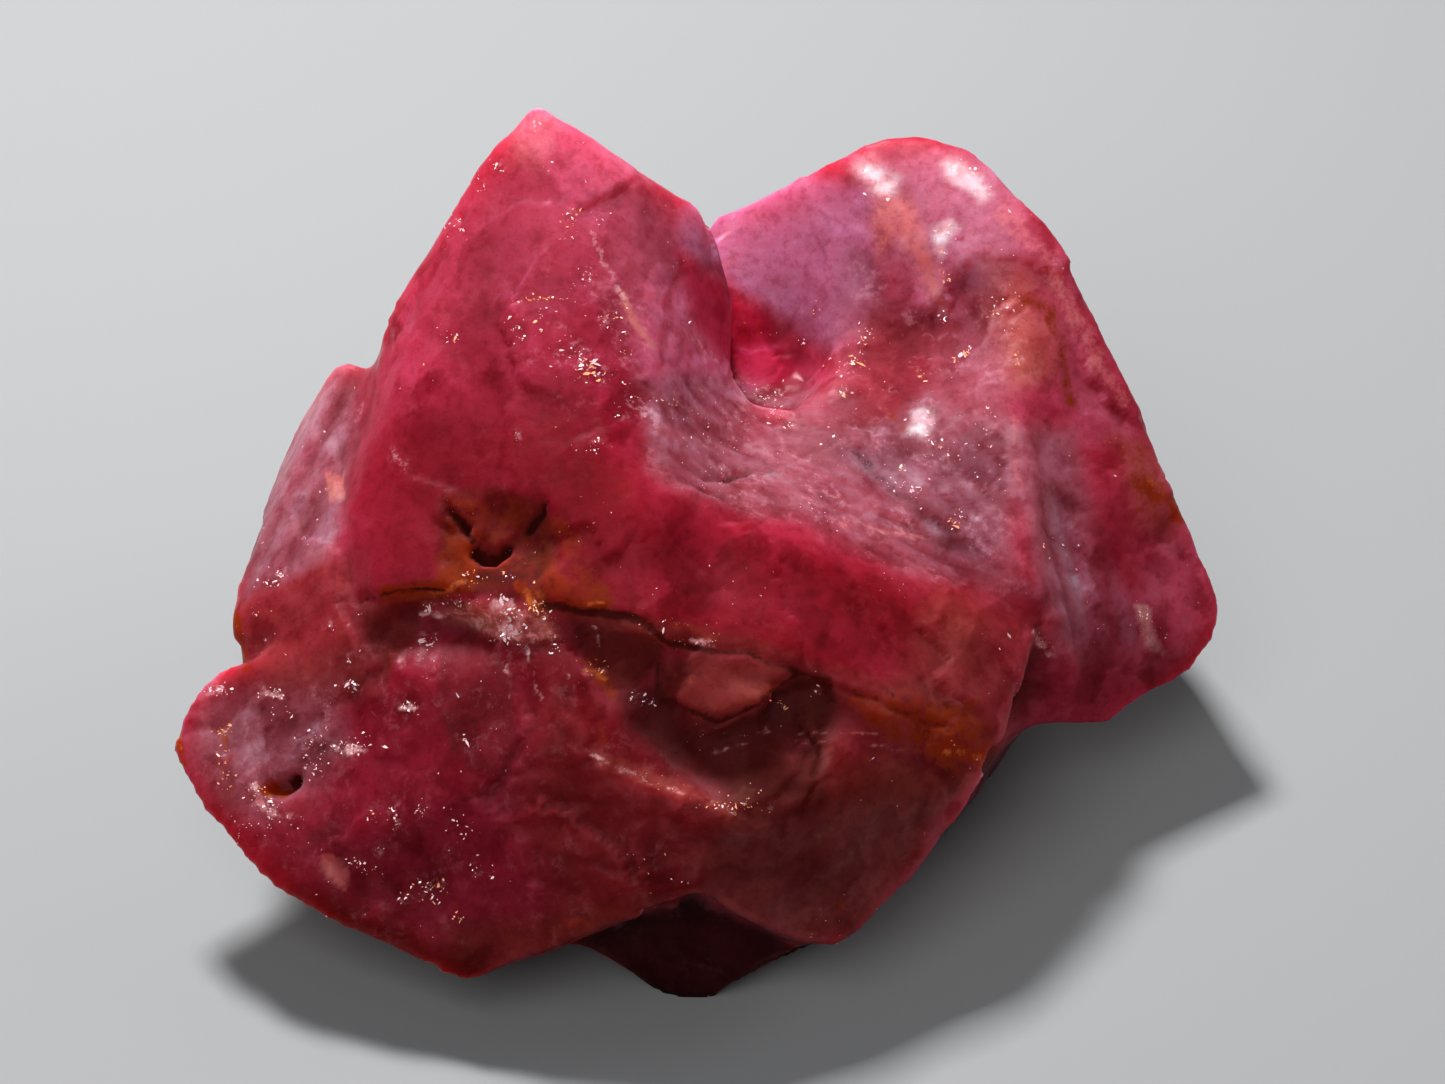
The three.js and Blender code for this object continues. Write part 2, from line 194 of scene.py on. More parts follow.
# Areas of the front: corners in pixels, and how far the mask fades in pixels
stoneAreas = {
    "tip": ([(512, 132), (535, 98), (575, 98), (645, 160), (622, 182), (570, 210), (546, 168)], 12),
    "saddleBand": ([(640, 380), (700, 372), (760, 392), (850, 430), (930, 500), (1010, 560), (1040, 600),
        (1000, 588), (900, 572), (800, 520), (700, 500), (650, 470)], 28),
    "rightFace": ([(684, 214), (740, 186), (800, 174), (866, 188), (884, 260), (872, 306), (836, 350),
        (796, 330), (744, 290), (700, 262), (684, 250)], 26),
    "pocket": ([(680, 250), (702, 268), (736, 290), (770, 312), (792, 340), (800, 372), (786, 392),
        (760, 386), (735, 375), (700, 330), (684, 280)], 26),
    "hollow": ([(880, 310), (960, 320), (930, 380), (900, 440), (850, 440), (850, 380)], 30),
    "bowl": ([(850, 250), (1000, 270), (1010, 400), (1000, 540), (930, 520), (850, 450), (830, 330)], 40),
    "shelf": ([(850, 440), (930, 400), (1010, 440), (1010, 560), (940, 530)], 30),
    "wall": ([(1000, 420), (1075, 430), (1110, 560), (1150, 640), (1060, 650), (1040, 600)], 30),
    "rightEnd": ([(1080, 480), (1190, 470), (1230, 620), (1170, 690), (1080, 640)], 40),
    "underBand": ([(1040, 670), (1200, 650), (1210, 700), (1100, 735), (1035, 725)], 22),
    "leftFlank": ([(345, 340), (378, 340), (356, 400), (346, 470), (330, 560), (240, 600), (250, 520),
        (300, 400)], 24),
    "pitFloor": ([(440, 495), (545, 500), (560, 560), (520, 590), (470, 590), (440, 560)], 14),
    "tooth": ([(446, 496), (490, 484), (538, 502), (520, 535), (500, 549), (480, 540)], 5),
    "crest": ([(422, 612), (480, 604), (545, 608), (562, 634), (522, 648), (470, 628)], 10),
    "recessLeft": ([(358, 603), (425, 602), (416, 640), (402, 650), (386, 688), (372, 650)], 6),
    "recessMiddle": ([(560, 610), (600, 612), (650, 622), (665, 650), (640, 690), (610, 690),
        (580, 650)], 12),
    "darkBand": ([(610, 690), (660, 690), (700, 715), (760, 700), (820, 670), (835, 700), (820, 800),
        (740, 800), (680, 770), (630, 730)], 22),
    "island": ([(660, 668), (690, 655), (770, 662), (796, 672), (770, 700), (712, 718), (668, 700)], 6),
    "rustyCorner": ([(840, 690), (980, 700), (1000, 750), (960, 775), (880, 740)], 24),
    "lowerEnd": ([(940, 590), (1035, 620), (1030, 690), (985, 780), (900, 700)], 60),
    "plate": ([(200, 690), (370, 640), (560, 640), (640, 740), (740, 810), (690, 905), (450, 985),
        (240, 850), (180, 750)], 30),
    "lowerRight": ([(740, 760), (980, 770), (860, 940), (800, 945), (690, 900)], 40),
    "plateLeft": ([(200, 676), (325, 684), (345, 750), (280, 815), (230, 815), (185, 750)], 40),
    "foot": ([(530, 954), (600, 926), (690, 898), (800, 944), (840, 944), (800, 1020), (560, 1020)], 14),
    "almond": ([(322, 855), (334, 856), (344, 862), (346, 876), (343, 892), (333, 885), (325, 873)], 3),
    "upperPink": ([(430, 250), (500, 150), (640, 160), (700, 250), (650, 300), (440, 320)], 130),
    "redBelly": ([(385, 410), (560, 400), (640, 480), (600, 590), (470, 600), (362, 590), (352, 480)], 80),
    "rightFacet": ([(612, 190), (640, 165), (700, 250), (690, 330), (640, 380), (610, 300)], 34),
    "glitterPatch": ([(520, 280), (620, 270), (640, 380), (570, 400), (510, 350)], 50),
    "bandLow": ([(590, 580), (700, 600), (830, 640), (960, 690), (900, 700), (800, 670), (640, 640)], 50),
    "bandHigh": ([(560, 420), (650, 400), (700, 500), (860, 560), (900, 600), (700, 570), (600, 500)], 70),
    "plateCore": ([(440, 655), (468, 628), (494, 640), (512, 680), (520, 740), (505, 778), (470, 770),
        (448, 745), (436, 700)], 7),
    "plateRight": ([(540, 650), (640, 740), (740, 810), (700, 905), (560, 940), (520, 800)], 60),
    "plateRim": ([(170, 750), (215, 800), (260, 848), (330, 895), (420, 930), (450, 990), (380, 985),
        (240, 880), (165, 800)], 36),
    "bottomEdge": ([(440, 925), (560, 915), (670, 890), (700, 905), (460, 990)], 26),
    "brownStainAndShade": ([(350, 600), (440, 610), (560, 615), (660, 625), (800, 670), (840, 700), (830, 800),
        (740, 810), (640, 745), (560, 660), (440, 640), (372, 670)], 40),
    "bandAll": ([(560, 430), (700, 510), (860, 570), (1000, 610), (980, 690), (800, 660), (560, 600)], 60),
    "bottomShade": ([(300, 890), (360, 915), (420, 945), (450, 952), (484, 956), (496, 980), (450, 1000),
        (360, 970), (290, 920)], 34),
    "tipVeil": ([(512, 120), (545, 100), (560, 120), (545, 165), (515, 160)], 26),
    "ridgeVeil": ([(876, 186), (912, 196), (926, 236), (938, 268), (950, 312), (934, 306), (916, 262),
        (898, 240), (880, 262), (872, 230)], 16),
    "pitLip": ([(446, 566), (480, 566), (512, 560), (546, 536), (558, 588), (545, 602), (480, 600),
        (446, 592)], 10),
    "ledgeRust": ([(380, 586), (430, 582), (450, 560), (444, 532), (462, 536), (478, 570), (472, 594),
        (440, 603), (384, 605)], 12),
    "ledgeRustRight": ([(548, 556), (575, 584), (612, 598), (616, 613), (560, 613), (538, 590)], 16),
    "ledgeShade": ([(600, 612), (660, 622), (745, 636), (800, 655), (850, 668), (930, 682), (965, 706),
        (940, 722), (880, 706), (820, 690), (760, 664), (690, 652), (655, 640)], 14),
    "crestRust": ([(452, 604), (492, 610), (504, 630), (474, 624)], 8),
    "crestRustRight": ([(530, 588), (544, 592), (552, 640), (538, 640)], 8),
    "flankRight": ([(1010, 200), (1055, 250), (1100, 350), (1135, 440), (1085, 450), (1050, 340)], 40),
    "bandRight": ([(800, 560), (960, 600), (955, 660), (860, 640)], 50),
    "edgeStain": ([(1112, 436), (1148, 446), (1182, 516), (1170, 544), (1134, 524)], 34),
    "redStrip": ([(1086, 450), (1120, 440), (1160, 560), (1130, 600), (1098, 560)], 34),
    "cornerWash": ([(800, 690), (900, 690), (990, 720), (1000, 765), (940, 800), (820, 810)], 40),
    "facetLow": ([(640, 280), (692, 280), (720, 320), (764, 388), (720, 404), (655, 400), (632, 330)], 26),
    "saddleHead": ([(780, 385), (850, 385), (900, 430), (892, 468), (820, 466), (780, 430)], 30),
    "saddleLow": ([(700, 445), (780, 455), (830, 500), (770, 520), (700, 490)], 30),
    "shelfEnd": ([(930, 520), (985, 520), (990, 560), (940, 550)], 24),
    "flankLow": ([(230, 600), (345, 560), (372, 640), (370, 690), (260, 690), (228, 640)], 50),
    "flankPeach": ([(322, 470), (340, 474), (342, 500), (330, 500)], 4),
    "endPatch": ([(1132, 604), (1148, 604), (1156, 630), (1166, 654), (1150, 650), (1140, 628)], 6),
    "paleStep": ([(588, 748), (614, 754), (652, 768), (692, 784), (736, 806), (730, 818), (682, 798),
        (642, 782), (600, 768)], 5),
    "bowlTop": ([(880, 258), (955, 262), (965, 312), (888, 312)], 30),
    "topPatch": ([(856, 168), (872, 158), (882, 174), (896, 180), (890, 198), (876, 192)], 24),
    "farPatch": ([(944, 162), (958, 160), (980, 178), (990, 196), (982, 200), (966, 186), (946, 176)], 16),
    "rightTop": ([(850, 150), (1000, 150), (1030, 250), (990, 290), (900, 270), (860, 210)], 40),
    "flankTop": ([(985, 255), (1050, 270), (1066, 370), (1015, 390), (980, 320)], 36),
    "bowlPatch": ([(908, 434), (914, 414), (930, 410), (934, 424), (922, 438)], 14),
    "sidePatch": ([(935, 228), (948, 224), (958, 228), (948, 238), (944, 256), (936, 246)], 12),
}

# Lines of the front: corners in pixels, width in mm, depth in mm (below zero stands proud)
stoneCuts = {
    "ledge": ([(358, 600), (400, 592), (440, 594), (470, 600)], 0.13, 0.11),
    "ledgeMiddle": ([(545, 600), (575, 606), (610, 612), (645, 618), (660, 640), (700, 648), (745, 650),
                     (790, 668), (830, 684), (880, 700), (905, 712), (950, 728)], 0.09, 0.045),
    "toothEdge": ([(446, 500), (452, 512), (466, 530), (482, 547), (494, 555), (508, 547), (524, 532),
                   (536, 516), (544, 504)], 0.06, 0.06),
    "gapLeft": ([(451, 512), (458, 520), (466, 530)], 0.08, 0.22),
    "gapLow": ([(478, 552), (488, 560), (500, 559), (508, 550)], 0.10, 0.30),
    "gapRight": ([(526, 530), (536, 518), (543, 508)], 0.06, 0.14),
    "hole": ([(272, 788), (283, 786), (291, 778)], 0.17, 0.32),
    "shelfGroove": ([(858, 452), (880, 476), (905, 498), (930, 520), (950, 532)], 0.14, 0.06),
    "saddleSlit": ([(706, 478), (730, 477), (752, 470), (772, 470)], 0.09, 0.08),
    "crackDown": ([(800, 724), (812, 738), (818, 752), (817, 775)], 0.06, 0.07),
    "flankSeam": ([(336, 440), (342, 500), (345, 560), (352, 600), (368, 650), (376, 680)], 0.10, 0.05),
    "arcOne": ([(718, 752), (738, 742), (766, 733), (790, 735), (806, 745)], 0.06, -0.035),
    "arcTwo": ([(758, 731), (785, 727), (802, 733), (830, 731), (858, 731), (885, 738)], 0.05, -0.03),
    "arcThree": ([(818, 739), (850, 741), (880, 744), (910, 752)], 0.05, -0.03),
    "holeRim": ([(255, 795), (268, 806), (285, 812), (300, 800)], 0.16, -0.04),
    "crestEdge": ([(428, 614), (450, 610), (478, 606), (500, 606), (520, 616), (540, 634)], 0.14, -0.07),
}

# Steps of the front: corners in pixels, side that drops (1 is right of its way), mm of width and depth
stoneSteps = {
    "plateStep": ([(592, 756), (622, 770), (656, 782), (690, 791), (732, 812)], -1, 0.9, 0.05),
    "cornerStep": ([(770, 800), (800, 760), (815, 735)], 1, 0.5, 0.05),
    "islandStep": ([(712, 718), (668, 702), (660, 672), (690, 655)], -1, 0.35, 0.06),
    "islandStepRight": ([(796, 672), (770, 700), (712, 718)], -1, 0.35, 0.06),
    "tipStep": ([(528, 160), (545, 168), (575, 208), (622, 184)], 1, 0.4, 0.04),
}

# Fine ridges along a growth direction: area, from and to in pixels, mm between ridges, height in mm
stoneStriae = [
    ("saddleBand", (700, 430), (1000, 560), 0.16, 0.03),
    ("wall", (1035, 440), (1085, 640), 0.20, 0.03),
    ("leftFlank", (360, 350), (270, 520), 0.26, 0.03),
    ("shelf", (860, 450), (960, 560), 0.14, 0.02),
]

# Areas that lie deeper than what is round them, in mm
stoneDips = {"recessMiddle": 0.06, "recessLeft": 0.03, "darkBand": 0.03, "pitFloor": 0.06, "almond": 0.04}

# Bright breaks cut flat so that they throw the key light back: place in pixels and radius in mm
stoneGlints = [
    ((872, 170), 0.22), ((886, 188), 0.20), ((955, 168), 0.20), ((982, 188), 0.15), ((942, 236), 0.17),
    ((918, 424), 0.26), ((456, 222), 0.16), ((914, 490), 0.08), ((1008, 304), 0.14),
    ((946, 318), 0.08), ((408, 707), 0.10), ((216, 690), 0.14), ((270, 694), 0.10), ((510, 634), 0.12),
]

# Clusters of tiny bright flakes, white and golden as painted glints, and turned to throw the key light
# back:
# x, y, half width and half height in pixels, turn in degrees, how many, flake size in microns and how
# golden
stoneSparkles = [
    (590, 275, 8, 6, 0, 9, 35, 0.2), (575, 285, 5, 5, 0, 3, 20, 0.3), (540, 299, 20, 3, 0, 14, 30, 0.9),
    (540, 320, 4, 8, 0, 5, 30, 0.4), (516, 329, 8, 6, 30, 8, 30, 0.2), (513, 343, 4, 2, 0, 2, 25, 0.3),
    (609, 319, 10, 6, -15, 10, 35, 0.6), (622, 336, 4, 5, 0, 3, 25, 0.2), (625, 352, 6, 2, 0, 4, 30, 0.3),
    (590, 367, 11, 4, 50, 16, 45, 0.6), (600, 376, 26, 10, 10, 16, 18, 0.6),
    (573, 350, 14, 8, 10, 12, 20, 0.0), (572, 219, 6, 5, 20, 8, 35, 1.0), (572, 232, 14, 10, 0, 7, 20, 0.6),
    (600, 216, 12, 8, 0, 3, 25, 0.1), (456, 222, 12, 3, 50, 9, 40, 0.0), (448, 231, 9, 4, 0, 6, 35, 0.1),
    (497, 168, 5, 3, 30, 4, 35, 0.0), (478, 184, 14, 6, 60, 8, 25, 0.1), (536, 126, 8, 6, 0, 5, 25, 0.0),
    (548, 160, 6, 10, 0, 4, 20, 0.0), (450, 334, 11, 4, 30, 8, 30, 0.3), (518, 437, 3, 2, 0, 2, 30, 0.3),
    (595, 446, 16, 6, 0, 8, 22, 0.1), (668, 402, 30, 8, 5, 14, 22, 0.3), (684, 322, 2, 2, 0, 1, 30, 0.2),
    (620, 415, 4, 12, 0, 4, 20, 0.4), (700, 430, 40, 26, 20, 18, 18, 0.1),
    (724, 470, 20, 26, 0, 9, 20, 0.2), (771, 413, 7, 4, 0, 6, 30, 0.0), (789, 426, 4, 4, 60, 4, 30, 0.0),
    (780, 397, 34, 5, 12, 16, 25, 0.0), (812, 510, 16, 14, 0, 6, 20, 0.1),
    (870, 175, 16, 10, 50, 6, 40, 0.0), (886, 190, 10, 8, 0, 4, 35, 0.0), (958, 168, 16, 8, 20, 6, 40, 0.0),
    (984, 188, 7, 9, 60, 4, 35, 0.0), (944, 230, 10, 5, -20, 7, 40, 0.0),
    (940, 248, 4, 10, -20, 5, 30, 0.2), (945, 275, 5, 4, 0, 5, 35, 0.8), (1010, 303, 10, 8, 0, 8, 30, 0.2),
    (995, 313, 4, 3, 0, 4, 35, 0.9), (1012, 331, 4, 4, 0, 3, 30, 0.9), (964, 353, 6, 3, -35, 8, 45, 0.7),
    (950, 367, 10, 4, -40, 6, 25, 0.9), (922, 376, 4, 4, 0, 3, 30, 0.9), (1018, 358, 4, 4, 0, 3, 35, 0.9),
    (946, 318, 5, 3, 0, 5, 35, 0.1), (863, 338, 6, 11, 0, 12, 35, 0.7), (856, 362, 4, 4, 0, 6, 45, 0.8),
    (842, 392, 9, 4, -10, 7, 30, 0.8), (840, 366, 8, 6, 30, 6, 25, 0.1), (802, 341, 3, 3, 0, 2, 30, 0.1),
    (815, 310, 4, 6, 0, 4, 25, 0.9), (920, 424, 15, 12, -40, 10, 40, 0.0), (915, 490, 6, 4, 0, 7, 40, 0.0),
    (902, 468, 3, 4, 0, 4, 35, 0.9), (940, 455, 26, 14, 0, 14, 20, 0.1), (957, 522, 7, 4, 0, 6, 35, 0.6),
    (964, 512, 10, 6, 0, 5, 25, 0.2), (860, 458, 3, 3, 0, 2, 30, 0.3), (900, 484, 26, 5, 35, 9, 20, 0.1),
    (988, 412, 5, 3, 0, 4, 30, 0.1), (985, 450, 24, 40, 0, 14, 18, 0.1), (280, 574, 4, 3, 0, 5, 40, 0.0),
    (267, 584, 7, 3, 0, 6, 35, 0.0), (256, 612, 8, 6, 0, 5, 20, 0.1), (333, 627, 3, 2, 0, 2, 25, 0.0),
    (270, 545, 20, 16, 0, 7, 18, 0.0), (217, 691, 9, 5, 0, 14, 40, 0.0), (271, 694, 9, 5, 0, 12, 35, 0.0),
    (278, 714, 12, 4, 0, 5, 25, 0.1), (346, 686, 8, 4, 0, 7, 30, 0.0), (408, 708, 7, 5, 20, 10, 35, 0.0),
    (328, 722, 2, 14, 12, 7, 15, 0.1), (345, 748, 22, 6, -8, 26, 30, 0.0), (312, 740, 12, 8, 0, 8, 25, 0.0),
    (312, 770, 7, 7, 0, 9, 30, 0.0), (255, 790, 7, 6, 0, 11, 35, 0.5), (224, 735, 6, 12, 15, 10, 30, 1.0),
    (226, 772, 5, 22, 0, 12, 25, 0.9), (268, 804, 8, 4, 0, 8, 35, 0.1),
    (272, 822, 22, 10, -10, 14, 22, 0.0), (240, 828, 10, 6, -50, 6, 20, 0.0),
    (394, 811, 4, 2, 0, 4, 30, 0.0), (416, 811, 8, 3, 0, 6, 25, 0.1), (397, 824, 7, 3, 20, 5, 25, 0.1),
    (428, 641, 9, 4, 0, 11, 35, 0.0), (430, 662, 14, 14, 0, 6, 18, 0.0), (350, 660, 2, 2, 0, 2, 30, 0.0),
    (466, 740, 3, 3, 0, 4, 45, 0.0), (557, 650, 3, 3, 0, 4, 45, 0.0), (426, 888, 16, 5, 0, 12, 24, 0.4),
    (440, 884, 6, 4, 0, 5, 30, 0.9), (404, 900, 3, 3, 0, 3, 35, 0.2), (436, 900, 3, 3, 0, 3, 35, 0.2),
    (364, 866, 14, 4, 25, 12, 25, 0.1), (378, 852, 4, 3, 0, 3, 20, 0.4), (462, 826, 12, 10, 0, 9, 20, 0.0),
    (482, 870, 14, 10, 0, 8, 20, 0.1), (458, 918, 5, 3, 0, 4, 25, 0.8), (370, 818, 6, 6, 40, 4, 20, 0.5),
    (430, 607, 5, 3, 0, 6, 40, 0.2), (460, 603, 22, 3, 0, 10, 25, 0.3), (500, 599, 9, 3, 0, 10, 35, 0.0),
    (511, 632, 10, 7, -20, 20, 45, 0.0), (512, 614, 10, 7, 0, 9, 30, 0.0),
    (536, 604, 5, 12, -10, 14, 35, 0.8), (472, 578, 7, 5, 0, 8, 30, 0.8), (508, 578, 5, 4, 0, 4, 30, 0.3),
    (590, 668, 16, 6, -10, 9, 25, 0.9), (640, 696, 12, 6, 10, 8, 22, 0.1), (650, 705, 5, 4, 0, 4, 30, 0.2),
    (555, 625, 20, 12, 0, 8, 18, 0.2), (818, 690, 3, 8, 0, 5, 25, 0.3), (783, 702, 4, 3, 0, 4, 35, 0.5),
    (748, 803, 6, 3, 0, 6, 30, 0.9), (724, 806, 8, 4, 20, 9, 35, 0.6), (770, 808, 3, 4, 0, 3, 20, 0.4),
    (925, 836, 2, 2, 0, 1, 30, 0.3), (664, 784, 44, 5, 24, 10, 15, 0.2), (720, 736, 40, 10, 0, 12, 15, 0.1),
    (850, 944, 3, 4, 0, 3, 30, 0.8), (820, 917, 3, 3, 0, 2, 30, 0.9), (706, 642, 24, 2, 6, 8, 20, 0.1),
    (680, 625, 40, 6, 8, 10, 15, 0.6), (1150, 628, 8, 18, -25, 8, 25, 0.2),
    (1044, 640, 6, 10, -30, 5, 20, 0.2),
]

# Flakes strewn over the whole stone as small painted glints, and the form of every flake
strewnGlintFlakes = {
    "clusters": 150, "flakes": 5,  # clusters, and flakes in each
    "spread": 0.21, "size": 0.022,  # mm
    "golden": 0.3,  # share that is golden
    "toKey": 0.2,  # how far they turn to where they flash, 0 to 1
    "lowest": 0.3,  # mm above the floor
    "seed": 7,
}

stoneFlakes = {
    "number": 2,  # flakes for each one that a cluster names
    "spread": 0.65, "margin": 1.5,  # of its half width and height, and pixels added to both
    "toKey": 0.5,  # how far they turn to where they flash, 0 to 1
    "tilt": 0.22, "steepest": 0.3,  # how unevenly they lie, and the least that one faces outwards
    "usual": 0.33, "variety": 0.55,  # the usual flake in its cluster's size, and how much they differ
    "corners": (3, 6),  # from, and below
    "long": (1.0, 3.0),  # length over width
    "unevenness": 0.3,  # of the corners' steps round the flake
    "reach": (0.45, 1.0),  # of its corners, in its own size
    "depth": 1.2, "proud": 0.25,  # how deep its point goes and how far it stands out, in its own size
}


def smooth(t):
    t = np.clip(t, 0, 1)
    return t * t * (3 - 2 * t)


def applied(obj, kind, **settings):
    pickUp(obj)
    modifier = obj.modifiers.new(kind.lower(), kind)
    for key, value in settings.items():
        setattr(modifier, key, value)
    bpy.ops.object.modifier_apply(modifier=modifier.name)


def readPoints(obj):
    points = np.zeros(len(obj.data.vertices) * 3, np.float32)
    normals = np.zeros_like(points)
    obj.data.vertices.foreach_get("co", points)
    obj.data.vertex_normals.foreach_get("vector", normals)
    return points.reshape(-1, 3).astype(float), normals.reshape(-1, 3).astype(float)


def writePoints(obj, points):
    obj.data.vertices.foreach_set("co", points.astype(np.float32).ravel())
    obj.data.update()


def noiseAt(points, spacing, shift=0.0):
    return np.array([noise.noise(Vector(p)) for p in points / spacing + shift])


def turned(x, y, angle):
    return x * math.cos(angle) - y * math.sin(angle), x * math.sin(angle) + y * math.cos(angle)


def sightLine(place):
    x = (place[0] - view["imageSize"][0] / 2) / focal
    y = (view["imageSize"][1] / 2 - place[1]) / focal
    return (Vector((x, 0, 0)) + cameraUp * y - toCamera).normalized()


def onPicture(points):
    away = points - np.array(eye)
    depth = -(away @ np.array(toCamera))
    x = view["imageSize"][0] / 2 + focal * away[:, 0] / depth
    y = view["imageSize"][1] / 2 - focal * (away @ np.array(cameraUp)) / depth
    return np.stack([x, y], 1)


class Surface:
    def __init__(self, obj):
        self.points, self.normals = readPoints(obj)
        self.picture = onPicture(self.points)
        self.cover = BVHTree.FromObject(obj, bpy.context.evaluated_depsgraph_get())
        self.tree = KDTree(len(self.points))
        for i, p in enumerate(self.points):
            self.tree.insert(p, i)
        self.tree.balance()
        amount, spacing = stoneForm["edgeWander"]
        self.wander = np.stack([noiseAt(self.points, spacing, shift) for shift in (3.1, 17.7)], 1) * amount
        distance = np.linalg.norm(self.points - np.array(eye), axis=1)
        facing = (self.normals @ np.array(toCamera)) > stoneForm["turnedAway"]
        self.seen = np.zeros(len(self.points))
        for i in np.nonzero(facing)[0]:
            hit = self.cover.ray_cast(eye, Vector(self.points[i]) - eye)
            behind = distance[i] - (hit[3] if hit[0] else distance[i])
            self.seen[i] = 1 - behind / stoneForm["hiddenDepth"]
        self.seen = smooth(self.seen)

    def pin(self, place):
        hit = self.cover.ray_cast(eye, sightLine(place))[0]
        if hit:
            return hit
        nearest = np.linalg.norm(self.picture - place, axis=1).argmin()
        return Vector(self.points[nearest])

    def pins(self, places):
        found = []
        for start, end in zip(places[:-1], places[1:]):
            start, way = np.array(start), np.subtract(end, start)
            steps = max(2, int(np.linalg.norm(way) / stoneForm["pinSpacing"]))
            found += [self.pin(start + way * (k / steps)) for k in range(steps)]
        amount, spacing = stoneForm["lineWander"]
        return [p + noise.noise_vector(p / spacing) * amount for p in found + [self.pin(places[-1])]]

    def near(self, pins, width):
        mask = np.zeros(len(self.points))
        for p in pins:
            for _, i, d in self.tree.find_range(p, width):
                mask[i] = max(mask[i], 1 - d / width)
        return smooth(mask)

    def area(self, corners, fade):
        spot = self.picture + self.wander
        inside = np.zeros(len(spot), bool)
        edge = np.full(len(spot), np.inf)
        for (ax, ay), (bx, by) in zip(corners, corners[1:] + corners[:1]):
            crosses = (ay > spot[:, 1]) != (by > spot[:, 1])
            with np.errstate(divide="ignore", invalid="ignore"):
                inside ^= crosses & (spot[:, 0] < (bx - ax) * (spot[:, 1] - ay) / (by - ay) + ax)
            way = np.array([bx - ax, by - ay], float)
            t = np.clip(((spot - (ax, ay)) @ way) / (way @ way), 0, 1)
            edge = np.minimum(edge, np.linalg.norm(spot - (ax, ay) - t[:, None] * way, axis=1))
        return smooth(0.5 + np.where(inside, edge, -edge) / fade) * self.seen


def stepMoves(surface, corners, side, width, depth):
    pins = surface.pins(corners)
    moves = np.zeros(len(surface.points))
    nearest = np.full(len(surface.points), np.inf)
    for k, p in enumerate(pins):
        ahead = pins[min(k + 1, len(pins) - 1)] - pins[max(k - 1, 0)]
        across = ahead.cross(toCamera).normalized() * side
        for co, i, d in surface.tree.find_range(p, width):
            if d < nearest[i]:
                nearest[i] = d
                moves[i] = -depth * smooth(1 - d / width) if (co - p).dot(across) > 0 else 0
    return moves


def scatterSeeds(surface, among, size, random):
    number = int(len(among) * (stoneForm["grid"] / size) ** 2) + stoneForm["fewestFlats"]
    seeds = random.choice(among, number, replace=False)
    tree = KDTree(len(seeds))
    for k, i in enumerate(seeds):
        tree.insert(surface.points[i], k)
    tree.balance()
    return seeds, tree


def flatMoves(surface, size, lean, shift, mask):
    random = np.random.default_rng(shift)
    inside = np.nonzero(mask > stoneForm["maskFloor"])[0]
    seeds, tree = scatterSeeds(surface, inside, size, random)
    leans = random.normal(size=(len(seeds), 3)) * lean
    step = stoneForm["flatSteps"]
    rise = random.uniform(-step, step, len(seeds)) * lean * size
    dome = lean / size * stoneForm["flatDome"]
    moves = np.zeros(len(surface.points))
    for i in inside:
        p = surface.points[i]
        moves[i] = max(rise[k] + leans[k] @ (p - surface.points[seeds[k]]) - dome * d * d
                       for _, k, d in tree.find_n(p, stoneForm["flatsMeeting"]))
    return (moves - moves[inside].mean()) * mask


def striaeMoves(surface, mask, start, end, spacing, height):
    way = (surface.pin(end) - surface.pin(start)).normalized()
    along = surface.points @ np.array(way)
    squashed = surface.points - np.outer(along * stoneForm["ridgeStretch"], np.array(way))
    return mask * height * noiseAt(squashed, spacing)


def flashDirection():
    _, elevation, azimuth, *_ = studio["lights"][0]  # halfway from the key light to the camera
    return (direction(elevation, azimuth) + toCamera).normalized()


def glintMoves(surface, points, normals, place, radius):
    middle = surface.pin(place)
    moves = np.zeros(len(points))
    flat = flashDirection()
    deepest = stoneForm["glintDepth"]
    found = [i for _, i, _ in surface.tree.find_range(middle, radius)]
    centre = points[found].mean(0)
    for i in found:
        lean = max(Vector(normals[i]).dot(flat), stoneForm["glintLean"])
        away = np.linalg.norm(surface.points[i] - np.array(middle)) / radius
        cut = float((centre - points[i]) @ np.array(flat)) / lean
        moves[i] = smooth(stoneForm["glintEdge"] * (1 - away)) * np.clip(cut, -deepest, deepest)
    return moves


def fineCopy(crystal):
    stone = bpy.data.objects.new("spinelStone", crystal.data.copy())
    bpy.context.scene.collection.objects.link(stone)
    pickUp(stone)
    bpy.ops.object.mode_set(mode="EDIT")
    bpy.ops.mesh.select_all(action="SELECT")
    bpy.ops.transform.resize(value=(1 / mm,) * 3, center_override=(0, 0, 0))
    bpy.ops.mesh.remove_doubles(threshold=stoneForm["weld"])
    bpy.ops.object.mode_set(mode="OBJECT")
    applied(stone, "REMESH", mode="VOXEL", voxel_size=stoneForm["grid"], use_smooth_shade=True)
    applied(stone, "SMOOTH", factor=0.5, iterations=stoneForm["smoothing"])
    return stone


def addRelief(stone, masks):
    for kind, spacing, height, area in stoneRelief:
        texture = bpy.data.textures.new("relief", kind)
        texture.noise_scale = spacing
        settings = {"texture": texture, "strength": height, "mid_level": 0.5, "texture_coords": "LOCAL"}
        if area:
            group = stone.vertex_groups.new(name=area)
            for i in np.nonzero(masks[area] > stoneForm["maskFloor"])[0]:
                group.add([int(i)], float(masks[area][i]), "REPLACE")
            settings["vertex_group"] = area
        applied(stone, "DISPLACE", **settings)
    stone.vertex_groups.clear()


